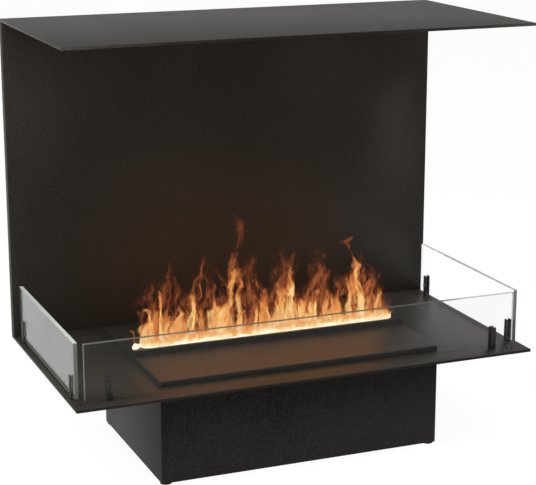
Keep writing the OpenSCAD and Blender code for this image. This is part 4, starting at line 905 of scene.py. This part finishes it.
# Lit mist that fills the slot, a long low pillow; puffs spill over the bar's left end, as x, y
# and radius in mm
mist = {"length": 0.584, "width": 0.040, "top": 8 * mm, "deep": 5 * mm, "base": 1 * mm,
        "cutsX": [x * 0.01 for x in range(-28, 29)], "cutsY": (-0.012, -0.004, 0.004, 0.012),
        "puffs": ((-305, -17, 6.3), (-299, -13, 5.6), (-300, -4, 5))}
bm = bmesh.new()
low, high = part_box("nozzle_bar")
block(bm, (-mist["length"] / 2, slotY - mist["width"] / 2, high.z - mist["deep"]),
      (mist["length"] / 2, slotY + mist["width"] / 2, high.z + mist["base"]))
roundOff(bm, uprightEdges(bm, 4 * mm), mist["width"] * 0.4999, 8)
cuts = [((x, 0, 0), (1, 0, 0)) for x in mist["cutsX"]]
cuts += [((0, slotY + y, 0), (0, 1, 0)) for y in mist["cutsY"]]
for place, across in cuts:
    bmesh.ops.bisect_plane(bm, geom=bm.verts[:] + bm.edges[:] + bm.faces[:], plane_co=place,
                           plane_no=across)
for vert in bm.verts:
    if vert.co.z > high.z:
        across = (vert.co.y - slotY) / (mist["width"] / 2)
        along = vert.co.x / (mist["length"] / 2)
        dome = max(0, 1 - across ** 2) ** 0.5 * max(0, 1 - along ** 10)
        vert.co.z += (mist["top"] - mist["base"]) * dome * chance.uniform(0.55, 1.0)
for x, y, radius in mist["puffs"]:
    puff = bmesh.ops.create_uvsphere(bm, u_segments=24, v_segments=12, radius=radius * mm)
    bmesh.ops.translate(bm, vec=(x * mm, y * mm, high.z + radius * 0.55 * mm),
                        verts=puff["verts"])
glow = setDown("litMist", bm, "fireplace", [makeMistGlow("mistGlow")], smoothTo=180)
glow.visible_shadow = False
print("flames made")

# Stage: pale floor and white world. White is what the camera sees, and keep the floor's share
# of it, so that the shadow shows; gloss is what mirrors see, by depth in metres
stage = {"floorSize": 60, "floor": 0.86, "keep": 0.93, "white": 1.03, "fill": 0.26,
         "glossFront": 0.13, "glossNear": 0.66, "glossFar": 1.15, "nearDepth": (-0.8, 0.1),
         "farDepth": (0.5, 2.6), "skyBack": 0.57}
bm = bmesh.new()
bmesh.ops.create_grid(bm, x_segments=2, y_segments=2, size=stage["floorSize"] / 2)
data = bpy.data.meshes.new("floor")
bm.to_mesh(data)
bm.free()
floor = bpy.data.objects.new("floor", data)
scene.collection.objects.link(floor)
f = Finish("paleFloor")
behindGlass = f.ray("Transmission")
seen = f.ray("Camera").math("MAXIMUM", behindGlass)
mirror = f.ray("Glossy") * (1 - behindGlass)
pale = f.node("ShaderNodeBsdfDiffuse", {}, {"Color": rgb(*[stage["floor"]] * 3)})
white = f.node("ShaderNodeEmission", {}, {"Color": rgb(1, 1, 1), "Strength": stage["white"]})
depth = f.parts(f.place())[1]
mirrored = (f.between(depth, *stage["nearDepth"], stage["glossFront"], stage["glossNear"])
            + f.between(depth, *stage["farDepth"], 0, stage["glossFar"] - stage["glossNear"]))
grey = f.node("ShaderNodeEmission", {}, {"Color": rgb(1, 1, 1), "Strength": mirrored})
lit = f.node("ShaderNodeMixShader", {}, {0: seen * stage["keep"], 1: pale, 2: white})
data.materials.append(f.close(f.node("ShaderNodeMixShader", {}, {0: mirror, 1: lit, 2: grey})))

world = bpy.data.worlds.new("studio")
scene.world = world
f = Finish("studio", world)
toward = f.parts(f.node("ShaderNodeTexCoord", out="Generated"))[1]
room = f.between(toward, -0.5, 0.5, stage["glossFront"], stage["skyBack"])
seen = f.ray("Camera").math("MAXIMUM", f.ray("Transmission"))
mirror = f.ray("Glossy")
level = seen + (1 - seen) * (mirror * room + (1 - mirror) * stage["fill"])
sky = f.node("ShaderNodeBackground", {}, {"Color": rgb(1, 1, 1), "Strength": level})
f.node("ShaderNodeOutputWorld", {}, {"Surface": sky})

# Lamps: place, aim, width, height, watts, colour, seen in mirrors, spread in degrees
plainLight, fireLight, roomLight = (1, 1, 1), (1.0, 0.31, 0.05), (1.0, 0.93, 0.84)
lamps = {
    "keyLamp": ((-0.6, -1.6, 3.4), (0, 0, 0.3), 3.0, 3.0, 78, plainLight, True, 180),
    "sideLamp": ((-2.6, 0.5, 3.0), (-0.5, 0.25, 0.6), 1.6, 1.6, 110, plainLight, False, 180),
    "panelGlow": ((0, 0.05, 0.33), (0, 0.24, 0.42), 0.56, 0.16, 0.70, fireLight, False, 180),
    "deckGlow": ((0, -0.02, 0.34), (0, -0.22, 0.21), 0.56, 0.10, 0.38, fireLight, True, 180),
    "roomLampLeft": ((-0.62, -0.40, 0.80), (-0.44, 0.2, 0.42), 0.3, 0.15, 3.5, roomLight,
                     False, 180),
    "roomLampRight": ((0.62, -0.40, 0.80), (0.44, 0.2, 0.42), 0.3, 0.15, 3.5, roomLight,
                      False, 180),
    "cornerLamp": ((0.42, 0.16, 0.80), (0.41, 0.22, 0.21), 0.1, 0.1, 0.26, (1.0, 0.95, 0.88),
                   False, 45),
}
for name, (place, aim, width, tall, watts, colour, mirrored, spread) in lamps.items():
    lamp = bpy.data.lights.new(name, "AREA")
    lamp.shape, lamp.size, lamp.size_y = "RECTANGLE", width, tall
    lamp.energy, lamp.color, lamp.spread = watts, colour, math.radians(spread)
    made = bpy.data.objects.new(name, lamp)
    made.location = place
    made.rotation_mode = "QUATERNION"
    made.rotation_quaternion = (Vector(aim) - Vector(place)).to_track_quat("-Z", "Y")
    made.visible_glossy = mirrored
    made.visible_camera = False
    scene.collection.objects.link(made)
print("stage made")
